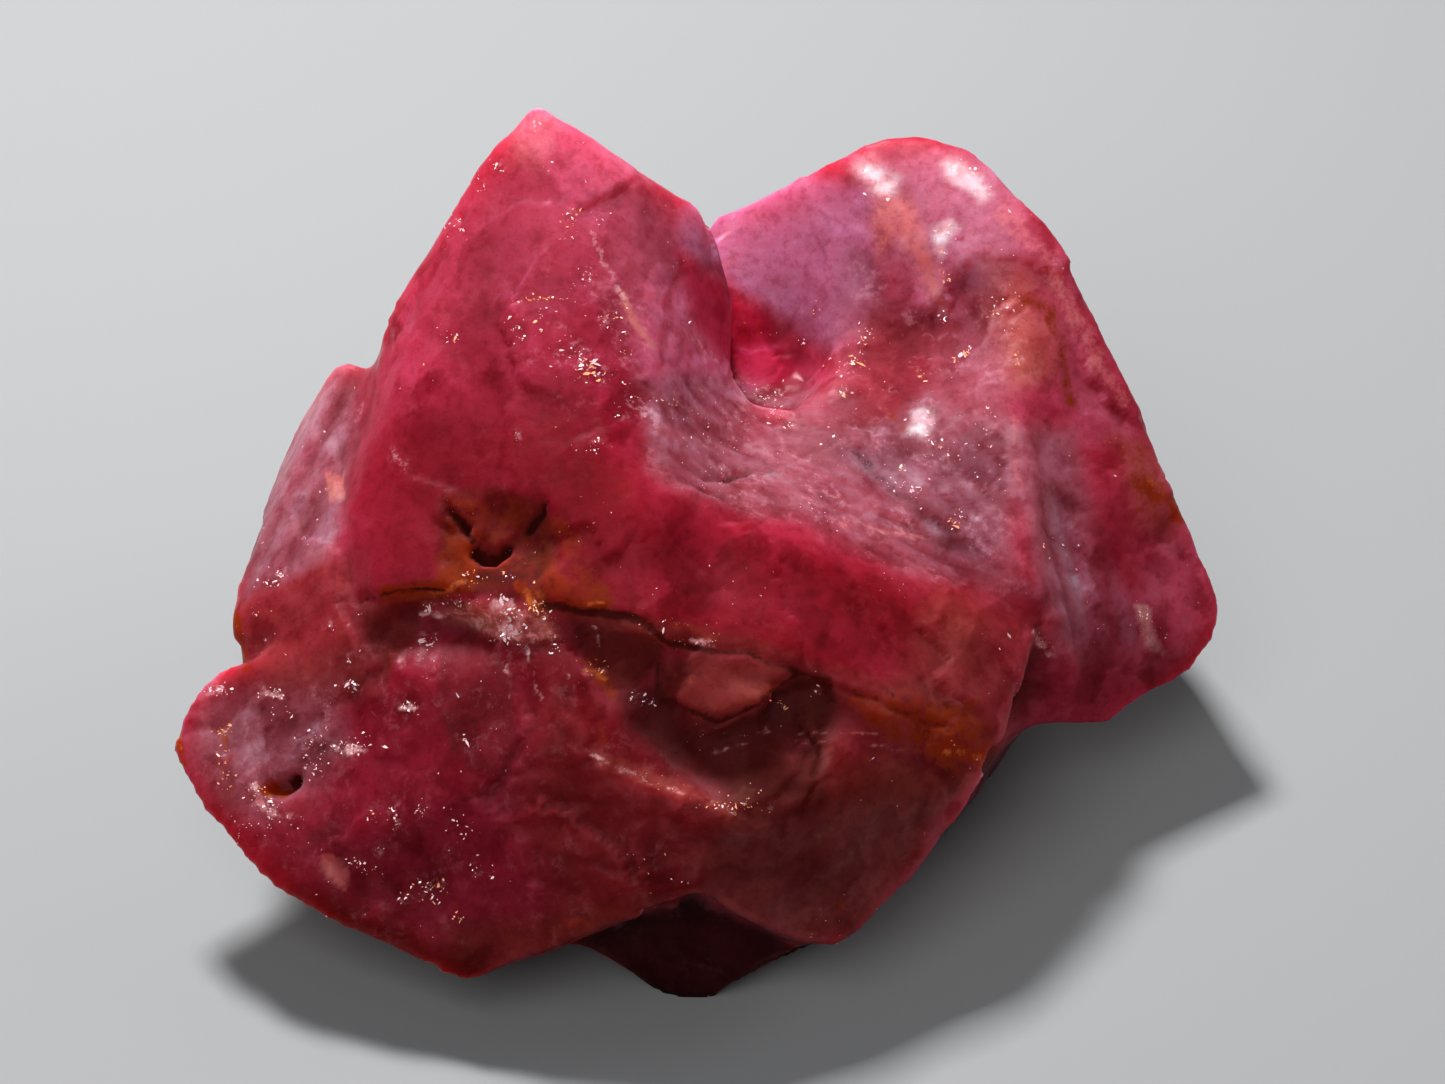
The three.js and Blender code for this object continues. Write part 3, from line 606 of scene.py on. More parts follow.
def carve(stone, surface, masks):
    points, normals = readPoints(stone)
    moves = np.zeros(len(points))
    for corners, width, depth in stoneCuts.values():
        moves -= depth * surface.near(surface.pins(corners), width)
    for corners, side, width, depth in stoneSteps.values():
        moves += stepMoves(surface, corners, side, width, depth)
    for area, start, end, spacing, height in stoneStriae:
        moves += striaeMoves(surface, masks[area], start, end, spacing, height)
    for shift, (size, lean, area) in enumerate(stoneFlats):
        moves += flatMoves(surface, size, lean, shift, masks[area] if area else np.ones(len(moves)))
    for area, depth in stoneDips.items():
        moves -= depth * masks[area] * (1 - masks["tooth"])
    writePoints(stone, points + normals * moves[:, None])

    points, normals = readPoints(stone)
    glints = np.zeros(len(points))
    for place, radius in stoneGlints:
        glints += glintMoves(surface, points, normals, place, radius)
    writePoints(stone, points + normals * glints[:, None])


def makeStone():
    stone = fineCopy(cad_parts["spinel_crystal"])
    print("stone: fine surface of", len(stone.data.vertices), "points")
    surface = Surface(stone)
    masks = {name: surface.area(corners, fade) for name, (corners, fade) in stoneAreas.items()}
    print("stone: areas of its front")
    addRelief(stone, masks)
    print("stone: relief")
    carve(stone, surface, masks)
    print("stone: cuts, steps, striae and bright breaks")
    return stone, surface, masks


def addFlake(random, points, faces, middle, out, size):
    form = stoneFlakes
    around = out.orthogonal().normalized()
    across = out.cross(around)
    long, corners = random.uniform(*form["long"]), random.integers(*form["corners"])
    turn = random.uniform(0, 2 * math.pi)
    first = len(points)
    for k in range(corners):
        angle = 2 * math.pi * (k + random.uniform(-form["unevenness"], form["unevenness"])) / corners
        reach = size * random.uniform(*form["reach"])
        x, y = turned(math.cos(angle) * reach * long, math.sin(angle) * reach, turn)
        points.append(middle + around * x + across * y)
    points.append(middle - out * size * form["depth"])
    faces.append(list(range(first, first + corners)))
    for k in range(corners):
        faces.append([first + corners, first + (k + 1) % corners, first + k])


def makeFlakes(stone):
    form, strewnGlints = stoneFlakes, strewnGlintFlakes
    carved = BVHTree.FromObject(stone, bpy.context.evaluated_depsgraph_get())
    random = np.random.default_rng(strewnGlints["seed"])
    flash = flashDirection()
    points, faces, gold = [], [], []

    def lay(hit, normal, size, golden, lean):
        out = normal * (1 - lean) + flash * lean + Vector(random.normal(size=3)) * form["tilt"]
        if out.dot(normal) < form["steepest"]:
            out = normal + out * 0.5
        before = len(points)
        scale = size * min(form["usual"] * math.exp(random.normal() * form["variety"]), 1.0)
        addFlake(random, points, faces, hit + normal * scale * form["proud"], out.normalized(), scale)
        gold.extend([float(random.random() < golden)] * (len(points) - before))

    for x, y, wide, high, turn, count, size, golden in stoneSparkles:
        for _ in range(count * form["number"]):
            u, v = random.normal(size=2) * form["spread"] * np.add((wide, high), form["margin"])
            u, v = turned(u, v, math.radians(turn))
            hit, normal, _, _ = carved.ray_cast(eye, sightLine((x + u, y + v)))
            if hit:
                lay(hit, normal, size * micron, golden, form["toKey"])
    base, _ = readPoints(stone)
    for i in random.choice(len(base), strewnGlints["clusters"], replace=False):
        for _ in range(strewnGlints["flakes"]):
            place = Vector(base[i] + random.normal(size=3) * strewnGlints["spread"])
            hit, normal, _, _ = carved.find_nearest(place)
            if hit.z > strewnGlints["lowest"]:
                lay(hit, normal, strewnGlints["size"], strewnGlints["golden"], strewnGlints["toKey"])
    mesh = bpy.data.meshes.new("spinelFlakes")
    mesh.from_pydata(points, [], faces)
    mesh.attributes.new("gold", "FLOAT", "POINT").data.foreach_set("value", gold)
    flakes = bpy.data.objects.new("spinelFlakes", mesh)
    bpy.context.scene.collection.objects.link(flakes)
    print("stone:", len(faces), "faces of bright flakes")
    return flakes


def toMetres(stone):
    points, _ = readPoints(stone)
    points[:, 2] = np.where(points[:, 2] < stoneForm["flatBelow"], 0, points[:, 2])
    low, high = (np.array(corner) / mm for corner in cadBox)
    writePoints(stone, np.clip(points, low, high) * mm)


# The stone's colours. Each layer is painted from areas, lines and the form itself, then laid on in turn.

# Broad tones of the body, laid one over another: area, tone and strength
stoneTones = [
    ("upperPink", "rose", 0.45), ("redBelly", "garnet", 0.75), ("rightFacet", "lilac", 0.15),
    # facetLow: blush that lifts a face turned away from the lamps, as painted light
    ("rightFacet", "rose", 0.6), ("facetLow", "blush", 0.7), ("bandAll", "garnet", 0.75),
    ("bandHigh", "crimson", 0.3), ("bandRight", "garnet", 0.75), ("bandLow", "garnet", 0.85),
    # plate: wine, darker towards the bottom of the stone, partly painted shade
    ("lowerEnd", "salmon", 0.35), ("plate", "wine", 0.8), ("plateLeft", "lilac", 0.4),
    ("plateRight", "garnet", 0.4), ("plateRight", "russet", 0.5), ("plateCore", "wine", 0.6),
    # bottomEdge, and bottomShade below: painted shade along the plate's lower edge, where the stone hangs
    # over the floor
    ("plateCore", "darkStainAndShade", 0.35), ("plateRim", "garnet", 0.85), ("bottomEdge", "russet", 0.8),
    ("bottomShade", "darkStainAndShade", 0.95), ("bottomShade", "shadowBlack", 0.3), ("lowerRight", "russet", 0.75),
    # leftFlank, like plateLeft above: lilac that is partly a painted sheen of the key light
    ("lowerRight", "brown", 0.6), ("leftFlank", "lilac", 0.75), ("flankLow", "salmon", 0.4),
    ("flankLow", "garnet", 0.12), ("tip", "blush", 0.7), ("tipVeil", "pale", 0.2),
    ("rightTop", "orchid", 0.6), ("rightTop", "pale", 0.12), ("flankTop", "salmon", 0.6),
    # rightFace orchid and saddleBand lilac: partly a painted sheen of the key light
    ("flankRight", "rose", 0.6), ("rightFace", "orchid", 0.9), ("saddleBand", "lilac", 0.5),
    ("saddleHead", "mauve", 0.6), ("saddleLow", "mauve", 0.4), ("bowl", "mauve", 0.55),
    # pocket: a painted glow in the hollow between the crystals; bowlTop: blush that lifts a shaded rim, as
    # painted light
    ("pocket", "glow", 1.0), ("hollow", "garnet", 0.65), ("bowlTop", "blush", 0.55),
    ("shelf", "lilac", 0.5), ("shelf", "veil", 0.15), ("shelfEnd", "veil", 0.5), ("wall", "lilac", 0.5),
    # underBand: painted shade under the right crystal; foot: painted shadow under the stone
    ("rightEnd", "rose", 0.5), ("underBand", "darkStainAndShade", 0.25), ("foot", "shadowBlack", 0.95),
    # the brown area under the ledge, and darkBand: brown stain, partly painted shade under the overhang
    ("brownStainAndShade", "russet", 0.5), ("cornerWash", "russet", 0.75), ("darkBand", "darkStainAndShade", 0.7),
    # recessLeft, recessMiddle and pitLip: brown stain, partly painted shade in the recesses and round the
    # pit
    ("darkBand", "brown", 0.15), ("recessLeft", "russet", 0.75), ("recessMiddle", "russet", 0.8),
    ("recessMiddle", "darkStainAndShade", 0.1), ("pitFloor", "russet", 0.8), ("pitLip", "darkStainAndShade", 0.75),
    ("tooth", "garnet", 0.9), ("tooth", "russet", 0.5), ("island", "russet", 0.95),
    ("crest", "salmon", 0.6), ("crestRust", "ochre", 0.25), ("crestRustRight", "ochre", 0.45),
    ("ledgeShade", "russet", 0.6), ("ledgeRust", "rust", 0.8), ("ledgeRustRight", "rust", 0.7),
    ("ridgeVeil", "peach", 0.5), ("edgeStain", "rust", 0.45), ("edgeStain", "peach", 0.25),
    ("redStrip", "crimson", 0.6), ("almond", "peach", 0.9), ("flankPeach", "peach", 0.9),
    # endPatch: peach with pale, a painted glint at the right end
    ("endPatch", "peach", 0.6), ("endPatch", "pale", 0.6), ("paleStep", "salmon", 0.35),
    # topPatch, farPatch, bowlPatch and sidePatch: painted highlights where the key light flashes
    ("topPatch", "highlightWhite", 1.0), ("farPatch", "highlightWhite", 0.9), ("bowlPatch", "highlightWhite", 1.0),
    ("sidePatch", "highlightWhite", 0.7),
]

# Stains, frost and dark gaps with ragged edges, partly painted shade, glow and highlights: each area's
# strength
stainAreas = {
    "peach": {"ridgeVeil": 0.35, "crest": 0.45},
    # pale: partly painted highlights on edges, breaks and glints
    "pale": {"sidePatch": 0.4, "crest": 0.3},
    "rust": {
        "pitFloor": 0.4, "pitLip": 0.3, "ledgeRust": 0.45, "ledgeRustRight": 0.4, "rustyCorner": 0.6,
        "cornerWash": 0.2, "edgeStain": 0.4,
    },
    # the dark layer: dark stain, partly painted shade in the recesses, the pit and the dark band
    "darkStainAndShade": {
        "recessLeft": 0.14, "recessMiddle": 0.22, "pitLip": 0.3, "darkBand": 0.25, "cornerWash": 0.12,
    },
    "matt": {
        "bowl": 0.9, "shelf": 0.6, "saddleBand": 0.5, "darkBand": 0.95, "recessLeft": 0.9,
        "recessMiddle": 0.9, "pitFloor": 0.8, "foot": 0.9, "rustyCorner": 0.8, "tooth": 0.8,
        "bandAll": 0.45, "redBelly": 0.4, "underBand": 0.8, "plateCore": 0.5, "topPatch": 1.0,
        "farPatch": 1.0, "bowlPatch": 1.0, "sidePatch": 1.0, "rightTop": 0.8, "hollow": 0.9, "pitLip": 1.0,
        "ledgeRust": 0.9, "ledgeRustRight": 0.9, "brownStainAndShade": 0.6,
    },
    "frostAndGlow": {
        "bowl": 0.22, "shelf": 0.25, "plateLeft": 0.22, "crest": 0.25, "plate": 0.05, "saddleBand": 0.3,
        "glitterPatch": 0.35,
    },
}

# And their lines: corners in pixels or the name of a cut, width in mm and strength
stainLines = {
    "peach": [
        ("arcOne", 0.05, 0.55), ("arcTwo", 0.05, 0.5), ("arcThree", 0.05, 0.45),
        ([(840, 522), (880, 530), (925, 537)], 0.14, 0.4),
        ([(1000, 215), (1050, 262), (1075, 320), (1120, 400)], 0.3, 0.4),
        ([(620, 290), (635, 325), (652, 345)], 0.12, 0.7),
        ([(1010, 400), (1015, 450), (1020, 490)], 0.14, 0.35), ([(605, 672), (585, 672)], 0.12, 0.6),
        ([(735, 250), (728, 262)], 0.12, 0.6), ([(1000, 305), (1015, 300)], 0.12, 0.7),
        ([(240, 560), (232, 620)], 0.2, 0.5),
    ],
    # pale marks and lines: partly painted highlights on edges and breaks
    "pale": [
        ("arcOne", 0.05, 0.4), ("arcTwo", 0.05, 0.35), ("arcThree", 0.05, 0.3), ("plateStep", 0.09, 0.34),
        ([(494, 603), (512, 604)], 0.1, 0.9), ([(504, 626), (520, 638)], 0.12, 0.9),
        ([(425, 612), (442, 616)], 0.08, 0.8), ([(592, 630), (600, 650)], 0.05, 0.7),
        ([(250, 785), (258, 800), (272, 812), (290, 818)], 0.14, 0.45),
        ([(690, 640), (745, 647)], 0.07, 0.35), ([(590, 236), (625, 300)], 0.1, 0.5),
        ([(700, 388), (745, 385), (800, 395)], 0.08, 0.4),
        ([(690, 335), (735, 380), (790, 398)], 0.1, 0.45), ([(1035, 632), (1050, 655)], 0.12, 0.5),
        ([(208, 690), (226, 692)], 0.12, 0.5), ([(262, 694), (282, 696)], 0.09, 0.7),
        ([(335, 748), (366, 748)], 0.1, 0.6), ([(330, 704), (324, 722), (328, 736)], 0.03, 0.5),
        ([(520, 625), (532, 665), (540, 700)], 0.06, 0.45),
        ([(540, 622), (560, 660), (580, 690)], 0.06, 0.45),
        ([(498, 640), (512, 690), (522, 740)], 0.05, 0.45),
        ([(436, 660), (434, 700), (446, 746)], 0.05, 0.35), ([(402, 706), (414, 710)], 0.08, 0.7),
        ([(420, 632), (436, 632)], 0.06, 0.6),
    ],
    "rust": [
        ([(385, 594), (420, 592), (445, 588), (466, 574), (470, 552)], 0.22, 1.0),
        ([(440, 560), (455, 590)], 0.25, 0.7), ([(520, 586), (535, 600), (542, 615)], 0.16, 1.0),
        ([(560, 520), (572, 560), (600, 600), (590, 610)], 0.3, 0.6), ([(575, 600), (606, 604)], 0.14, 1.0),
        ([(236, 615), (243, 650), (246, 668)], 0.15, 1.0), ([(180, 735), (182, 765)], 0.16, 0.9),
        ([(222, 728), (228, 745), (230, 800)], 0.13, 0.5), ([(264, 790), (282, 792)], 0.2, 1.0),
        ([(940, 745), (958, 755), (985, 758)], 0.22, 1.0), ([(850, 705), (900, 735), (950, 735)], 0.2, 0.6),
        ([(600, 700), (606, 740)], 0.14, 0.5), ([(1140, 480), (1160, 495), (1180, 512)], 0.35, 0.8),
        ([(1020, 296), (1048, 310), (1060, 350), (1072, 400)], 0.2, 0.7),
        ([(570, 214), (574, 226)], 0.09, 0.9), ([(590, 660), (608, 690)], 0.2, 0.8),
        ([(700, 655), (690, 680), (672, 668)], 0.14, 0.3), ([(745, 690), (790, 690)], 0.12, 0.35),
        ([(640, 620), (700, 632), (760, 650)], 0.14, 0.35), ([(500, 630), (450, 618)], 0.12, 0.6),
        ([(525, 300), (560, 300)], 0.08, 0.5), ([(890, 415), (900, 425)], 0.1, 0.7),
        ([(600, 920), (560, 920)], 0.15, 0.5), ([(838, 912), (845, 905)], 0.1, 0.6),
        ([(380, 330), (386, 345)], 0.1, 0.5),
    ],
    "ochre": [
        ([(430, 598), (450, 592), (464, 578)], 0.08, 0.8), ([(528, 592), (540, 612)], 0.1, 0.9),
        ([(580, 601), (602, 604)], 0.07, 0.8), ([(238, 640), (244, 656)], 0.1, 1.0),
        ([(176, 738), (182, 748)], 0.07, 0.6), ([(222, 730), (226, 745)], 0.07, 0.5),
        ([(226, 765), (229, 798)], 0.06, 0.35), ([(268, 797), (282, 799)], 0.07, 0.9),
        ([(945, 752), (980, 758)], 0.12, 0.6), ([(1150, 482), (1165, 495)], 0.15, 0.5),
        ([(570, 216), (574, 224)], 0.07, 0.9), ([(594, 668), (606, 680)], 0.1, 0.7),
        ([(466, 560), (470, 575)], 0.06, 0.6), ([(525, 300), (552, 299)], 0.06, 0.5),
        ([(892, 417), (900, 424)], 0.08, 0.6),
    ],
    # dark lines: painted shade in the gaps round the tooth, the hole, the cracks and creases, with dark
    # stain along the ledge
    "darkStainAndShade": [
        ("gapLeft", 0.13, 1.0), ("gapLow", 0.14, 1.0), ("gapRight", 0.11, 1.0),
        ([(446, 500), (466, 530), (482, 549), (496, 556), (524, 534), (544, 505)], 0.07, 0.8),
        ([(358, 600), (400, 592), (440, 594)], 0.08, 0.8), ([(480, 575), (520, 580)], 0.25, 0.6),
        ([(545, 606), (610, 614), (645, 620), (660, 642)], 0.13, 0.9),
        ([(660, 642), (700, 650), (745, 652), (790, 670), (830, 686)], 0.1, 0.8),
        ([(830, 684), (880, 700), (905, 712), (960, 700)], 0.1, 0.4),
        ([(655, 668), (662, 700), (700, 716), (716, 722), (760, 706), (800, 675)], 0.1, 0.8),
        ([(286, 780), (292, 774)], 0.12, 1.0), ([(888, 690), (895, 694)], 0.09, 0.6),
        ([(800, 716), (812, 738), (818, 752), (817, 775), (800, 820)], 0.1, 0.8),
        ([(770, 700), (825, 680), (830, 700)], 0.2, 0.7), ("shelfGroove", 0.16, 0.4),
        ("saddleSlit", 0.09, 0.5), ([(670, 355), (676, 392)], 0.03, 0.6),
        ([(536, 300), (540, 322)], 0.07, 0.5), ([(795, 420), (830, 440), (855, 452)], 0.1, 0.35),
    ],
    "matt": [
        ("ledge", 0.28, 1.0),
        ([(545, 600), (610, 612), (645, 618), (660, 640), (700, 648), (745, 650), (790, 668), (830, 684),
            (880, 700), (950, 728)], 0.28, 1.0),
    ],
    "frostAndGlow": [
        ([(560, 280), (590, 320), (600, 370)], 0.5, 0.5), ([(865, 330), (850, 390)], 0.25, 0.8),
        ([(640, 400), (700, 490)], 0.4, 0.7), ([(630, 300), (650, 350), (665, 390)], 0.3, 0.5),
        ([(395, 450), (415, 478)], 0.12, 0.8), ([(385, 345), (350, 420)], 0.3, 0.5),
    ],
}

stoneFinish = {
    "body": (0.41, 0.020, 0.052, 1),
    "rose": (0.54, 0.080, 0.145, 1),
    "blush": (0.72, 0.115, 0.22, 1),
    "crimson": (0.36, 0.003, 0.018, 1),
    # a painted glow, for the pocket between the crystals
    "glow": (0.56, 0.016, 0.060, 1),
    "garnet": (0.22, 0.002, 0.006, 1),
    "wine": (0.20, 0.005, 0.014, 1),
    "russet": (0.17, 0.013, 0.010, 1),
    "brown": (0.15, 0.032, 0.026, 1),
    # dark stain, partly painted shade in gaps, recesses, under the stone and on faces that look down
    "darkStainAndShade": (0.062, 0.004, 0.002, 1),
    # painted shadow, for the foot and the lowest edge
    "shadowBlack": (0.016, 0.002, 0.0015, 1),
    # lilac and orchid: partly a painted sheen of the key light on the saddle, the flanks and the right
    # crystal's face
    "lilac": (0.35, 0.12, 0.16, 1),
    "orchid": (0.50, 0.14, 0.27, 1),
    "veil": (0.40, 0.18, 0.25, 1),
    "mauve": (0.25, 0.065, 0.09, 1),
    "salmon": (0.44, 0.085, 0.065, 1),
    "peach": (0.68, 0.19, 0.18, 1),
    # pale: partly painted highlights on edges, breaks and glints
    "pale": (0.80, 0.42, 0.43, 1),
    # painted highlights
    "highlightWhite": (0.98, 0.78, 0.84, 1),
    "rust": (0.25, 0.021, 0.002, 1),
    "ochre": (0.58, 0.13, 0.025, 1),
    # frost, and the painted glow round each cluster of flakes
    "frostAndGlow": (0.82, 0.40, 0.48, 1),
    # tones of the sides that the camera can't see, by slow noise: mm, shift and share of each octave, then
    # the tone, level, contrast and strength
    "drift": [(1.7, 40.0, 1.0), (0.8, 50.0, 0.5)],
    "hiddenTones": [("garnet", 0.5, 1.6, 0.6), ("lilac", 0.0, -2.2, 0.5)],
    "hiddenSpots": {"rust": 36.0, "frostAndGlow": 45.0},  # layers with specks there too, each with its shift
    "spots": (1.1, 0.22, 4, 0.6),  # mm between specks, level, contrast and strength
    # streaks: veil on the ridges is partly a painted sheen, and wine between them partly painted shade
    "streaks": [("veil", 1.6, 0.35), ("wine", -1.6, 0.4)],  # on the ridges and between them
    # thinGlow: rose painted where the stone is thin, a painted glow of light coming through
    "thinDepth": 3.5, "thinGlow": 0.45,  # mm of stone that light comes through well, and how much
    "deepest": 9.0, "belowSkin": 0.03,  # mm that its depth is looked for, and from how far in
    "downTurn": 1.4, "downShade": 0.7,  # how soon faces that look down go dark, and how dark
    "clouds": [(2.2, 0.55), (0.6, 0.45)],  # mm between the clouds inside, and their strength
    "cloudShift": 9, "octaves": 3,
    "patches": [(0.9, 0.7, 60), (0.35, 0.5, 61)],  # broken planes inside: mm across, strength, seed
    "patchLevel": 0.45, "patchFade": 0.9,  # how much they differ, and how much each fades across
    "patchEdge": 0.3,  # how ragged their edges are, in their size
    "calm": 0.55,  # how much weaker both are in the clear areas
    "clearAreas": ("upperPink", "redBelly", "tip", "rightFace", "rightTop"),
    "depthTint": (0.60, 0.30, 0.34, 1),  # what the dark ones multiply by
    "lightTint": (1.15, 1.6, 1.5, 1),  # and the light ones
    # the halo: a painted glow round each cluster of flakes
    "halo": 5.0, "haloStrength": 0.6,  # haze round a cluster of flakes: its reach in flakes
    "grain": (7.0, 3, 0.0, 0.7),  # noise: scale, detail, distortion and roughness
    "threads": (2.1, 4, 0.3, 0.7),
    "grainTints": [("depthTint", 0.52, 0.34, 0.42), ("lightTint", 0.54, 0.72, 0.5)],  # from, to, strength
    "wispThreads": (0.50, 0.64), "wispGrain": (0.47, 0.62),
    "frostPainted": 0.8, "frostAllOver": 0.015,
    "raggedness": (0.4, 0.6),  # the threads' and the grain's share in the stains' edges
    "stains": {"peach": (1.4, 0.15, 0.80), "rust": (2.6, 0.22, 0.85), "ochre": (2.6, 0.25, 0.85),
               "pale": (2.2, 0.20, 0.80), "darkStainAndShade": (1.8, 0.18, 0.70)},  # how ragged, from and to
    "stainStart": (0.02, 0.20),
    "dullThreads": (0.35, 0.7, 0.45),  # from and to in the threads, and how dull at most
    "facets": 4.5,  # small faces to the mm in the finest relief
    "grainRelief": 1.2, "etching": 0.012,  # the grain's part in it, and its height in mm
    "roughness": (0.30, 0.85),  # smoothest and dullest
    "light": {  # how light meets the stone and goes through it
        "IOR": 1.718, "Specular IOR Level": 0.05, "Specular Tint": (1.0, 0.50, 0.56, 1),
        "Transmission Weight": 0.12, "Subsurface Weight": 0.85, "Subsurface Scale": mm,
        "Subsurface Radius": (2.2, 0.35, 0.45),
    },
    "absorption": ((0.92, 0.05, 0.12, 1), 900.0),
}


def cloudShades(points, spacing):
    places = points / spacing + spacing * stoneFinish["cloudShift"]
    value = np.array([noise.fractal(Vector(p), 1.0, 2.0, stoneFinish["octaves"]) for p in places])
    return (value - value.mean()) / value.std() / 2


def patchShades(surface, size, shift):
    random = np.random.default_rng(shift)
    look, points = stoneFinish, surface.points
    seeds, tree = scatterSeeds(surface, np.arange(len(points)), size, random)
    level = random.normal(size=len(seeds)) * look["patchLevel"]
    fade = random.normal(size=(len(seeds), 3)) * look["patchFade"] / size
    shades = np.zeros(len(points))
    for i, p in enumerate(points):
        ragged = noise.noise_vector(Vector(p) / (size * 2 / 3)) * size * look["patchEdge"]
        _, k, _ = tree.find(Vector(p) + ragged)
        shades[i] = level[k] + fade[k] @ (p - points[seeds[k]])
    return np.clip(shades, -1, 1)


def depthUnder(surface):
    look = stoneFinish
    depth = np.full(len(surface.points), look["deepest"])
    for i, (p, n) in enumerate(zip(surface.points, surface.normals)):
        inward = Vector(-n)
        hit = surface.cover.ray_cast(Vector(p) + inward * look["belowSkin"], inward, look["deepest"])
        if hit[0]:
            depth[i] = hit[3]
    return depth


def bodyTone(surface, masks):
    look, points = stoneFinish, surface.points
    thin = smooth(1 - depthUnder(surface) / look["thinDepth"])
    drift = sum(noiseAt(points, spacing, shift) * share for spacing, shift, share in look["drift"])
    layers = [(smooth(level + drift * contrast) * strength * (1 - surface.seen), name)
              for name, level, contrast, strength in look["hiddenTones"]]
    # a painted glow where the stone is thin
    layers.append((thin * look["thinGlow"], "rose"))
    layers += [(masks[area] * strength, name) for area, name, strength in stoneTones]
    # partly a painted sheen on the ridges and painted shade between them
    for area, start, end, spacing, _ in stoneStriae:
        ridges = striaeMoves(surface, masks[area], start, end, spacing, 1.0)
        layers += [(smooth(ridges * contrast) * strength, name)
                   for name, contrast, strength in look["streaks"]]
    layers.append((smooth(-surface.normals[:, 2] * look["downTurn"]) * look["downShade"], "darkStainAndShade"))
    tone = np.tile(np.array(look["body"]), (len(points), 1))
    for amount, name in layers:
        tone += (np.array(look[name]) - tone) * amount[:, None]

    shades = [(cloudShades(points, spacing), strength) for spacing, strength in look["clouds"]]
    shades += [(patchShades(surface, size, seed), strength) for size, strength, seed in look["patches"]]
    calm = 1 - look["calm"] * np.max([masks[name] for name in look["clearAreas"]], 0)
    for shade, strength in shades:
        for amount, name in ((smooth(-shade), "depthTint"), (smooth(shade), "lightTint")):
            tone *= 1 + (np.array(look[name]) - 1) * (amount * calm * strength)[:, None]
    return tone


def stainLayer(surface, masks, name):
    look = stoneFinish
    value = np.zeros(len(surface.points))
    for area, strength in stainAreas.get(name, {}).items():
        value = np.maximum(value, masks[area] * strength)
    for line, width, strength in stainLines[name]:
        places = {**stoneCuts, **stoneSteps}[line][0] if isinstance(line, str) else line
        value = np.maximum(value, surface.near(surface.pins(places), width) * strength)
    # a painted glow round each cluster of flakes
    if name == "frostAndGlow":
        for x, y, *_, size, _ in stoneSparkles:
            halo = surface.near([surface.pin((x, y))], size * micron * look["halo"])
            value = np.maximum(value, halo * look["haloStrength"])
    if name in look["hiddenSpots"]:
        spacing, level, contrast, strength = look["spots"]
        spots = smooth((noiseAt(surface.points, spacing, look["hiddenSpots"][name]) - level) * contrast)
        value = np.maximum(value, spots * (1 - surface.seen) * strength)
    return np.clip(value, 0, 1)


def paintStone(stone, surface, masks):
    layer = stone.data.attributes.new("tone", "FLOAT_COLOR", "POINT")
    layer.data.foreach_set("color", bodyTone(surface, masks).astype(np.float32).ravel())
    for name in stainLines:
        layer = stone.data.attributes.new(name, "FLOAT", "POINT")
        layer.data.foreach_set("value", stainLayer(surface, masks, name).astype(np.float32))
    print("stone: tones and stains")


class Nodes:
    def __init__(self, name):
        self.material = bpy.data.materials.new(name)
        self.material.use_nodes = True
        self.tree = self.material.node_tree
        self.shader = self.tree.nodes["Principled BSDF"]

    def add(self, kind, inputs=(), **settings):
        node = self.tree.nodes.new("ShaderNode" + kind)
        for key, value in settings.items():
            setattr(node, key, value)
        for name, value in dict(inputs).items():
            if isinstance(value, bpy.types.NodeSocket):
                self.tree.links.new(value, node.inputs[name])
            else:
                node.inputs[name].default_value = value
        return node

    def feed(self, value, socket):
        self.tree.links.new(value, self.shader.inputs[socket])

    def math(self, operation, a, b):
        return self.add("Math", {0: a, 1: b}, operation=operation).outputs[0]

    def vector(self, operation, a, b, output="Vector"):
        return self.add("VectorMath", {0: a, 1: b}, operation=operation).outputs[output]

    def inMillimetres(self):
        coordinates = self.add("TexCoord").outputs["Object"]
        return self.add("VectorMath", {0: coordinates, "Scale": 1 / mm}, operation="SCALE").outputs[0]

    def noise(self, place, scale, detail, distortion=0.0, roughness=0.55):
        return self.add("TexNoise", {"Vector": place, "Scale": scale, "Detail": detail,
                                     "Distortion": distortion, "Roughness": roughness}).outputs["Fac"]

    def mix(self, factor, a, b, blend="MIX"):
        return self.add("Mix", {0: factor, 6: a, 7: b}, data_type="RGBA", clamp_factor=True,
                        blend_type=blend).outputs[2]

    def span(self, value, low, high, a=0.0, b=1.0):
        return self.add("MapRange", {"Value": value, "From Min": low, "From Max": high, "To Min": a,
                                     "To Max": b}, interpolation_type="SMOOTHSTEP").outputs[0]

    def layer(self, name, output="Fac"):
        return self.add("Attribute", attribute_name=name, attribute_type="GEOMETRY").outputs[output]


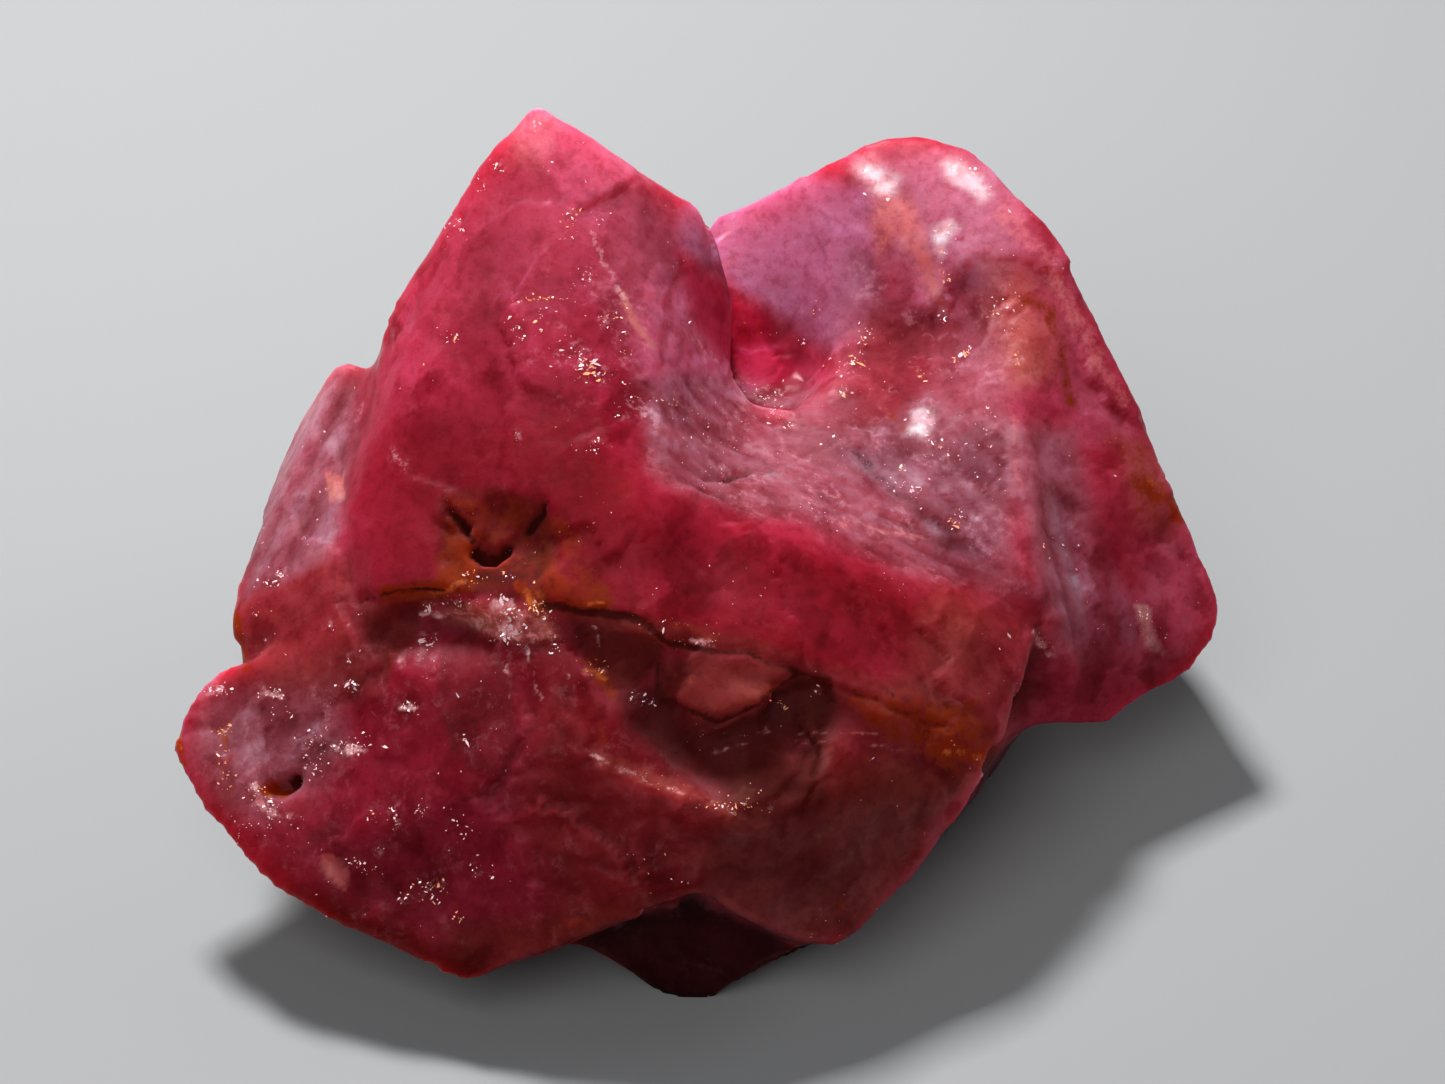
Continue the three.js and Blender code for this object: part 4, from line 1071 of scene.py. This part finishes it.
def spinelMaterial():
    n = Nodes("roughSpinel")
    look = stoneFinish
    place = n.inMillimetres()
    grain = n.noise(place, *look["grain"])
    threads = n.noise(place, *look["threads"])
    color = n.layer("tone", "Color")
    for tint, low, high, strength in look["grainTints"]:
        color = n.mix(n.math("MULTIPLY", n.span(grain, low, high), strength), color, look[tint], "MULTIPLY")

    wisps = n.math("MULTIPLY", n.span(threads, *look["wispThreads"]), n.span(grain, *look["wispGrain"]))
    frostAndGlow = n.math("ADD", n.math("MULTIPLY", n.layer("frostAndGlow"), look["frostPainted"]), look["frostAllOver"])
    color = n.mix(n.math("MULTIPLY", wisps, frostAndGlow), color, look["frostAndGlow"])

    coarse, fine = (n.math("MULTIPLY", *pair) for pair in zip((threads, grain), look["raggedness"]))
    speckled = n.math("SUBTRACT", n.math("ADD", coarse, fine), 0.5)
    for name, (ragged, low, high) in look["stains"].items():
        edge = n.math("ADD", n.layer(name), n.math("MULTIPLY", speckled, ragged))
        held = n.math("MULTIPLY", n.span(edge, low, high), n.span(n.layer(name), *look["stainStart"]))
        color = n.mix(held, color, look[name])
    n.feed(color, "Base Color")

    low, high, most = look["dullThreads"]
    dull = n.math("MAXIMUM", n.layer("matt"), n.span(threads, low, high, 0.0, most))
    n.feed(n.span(dull, 0.0, 1.0, *look["roughness"]), "Roughness")

    facets = n.add("TexVoronoi", {"Vector": place, "Scale": look["facets"]}).outputs  # small flat faces
    offset = n.vector("SUBTRACT", place, facets["Position"])
    lean = n.vector("SUBTRACT", facets["Color"], (0.5, 0.5, 0.5))
    slope = n.vector("DOT_PRODUCT", offset, lean, "Value")
    etched = n.math("ADD", n.math("MULTIPLY", grain, look["grainRelief"]), slope)
    bump = n.add("Bump", {"Height": etched, "Strength": 0.5, "Distance": look["etching"] * mm})
    n.feed(bump.outputs[0], "Normal")

    for socket, value in look["light"].items():
        n.shader.inputs[socket].default_value = value
    tint, density = look["absorption"]
    depth = n.add("VolumeAbsorption", {"Color": tint, "Density": density})
    n.tree.links.new(depth.outputs[0], n.tree.nodes["Material Output"].inputs["Volume"])
    return n.material


# The flakes' white and gold are partly painted glints, beside the key light that they throw back
flakeFinish = {
    "highlightWhite": (1.0, 0.74, 0.76, 1),
    "gold": (1.0, 0.46, 0.20, 1),
    "cloudy": (20.0, 2),  # scale and detail of the noise
    "rosy": 0.4,  # how much of the stone's own rose shows in them
    "clearest": (0.3, 0.7),  # the noise's range that the roughness follows
    "roughness": (0.2, 0.45),
}


def flakeMaterial():
    n = Nodes("brightFlake")
    look = flakeFinish
    cloudy = n.noise(n.inMillimetres(), *look["cloudy"])
    color = n.mix(n.layer("gold"), look["highlightWhite"], look["gold"])
    n.feed(n.mix(n.math("MULTIPLY", cloudy, look["rosy"]), color, stoneFinish["rose"]), "Base Color")
    n.feed(n.span(cloudy, *look["clearest"], *look["roughness"]), "Roughness")
    return n.material


addCamera()
addStudio()
stone, surface, masks = makeStone()
paintStone(stone, surface, masks)
flakes = makeFlakes(stone)
for piece, material in ((stone, spinelMaterial()), (flakes, flakeMaterial())):
    toMetres(piece)
    piece.data.materials.clear()
    piece.data.materials.append(material)
    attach(piece, "root")
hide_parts("spinel_crystal")
print("stone: in place")
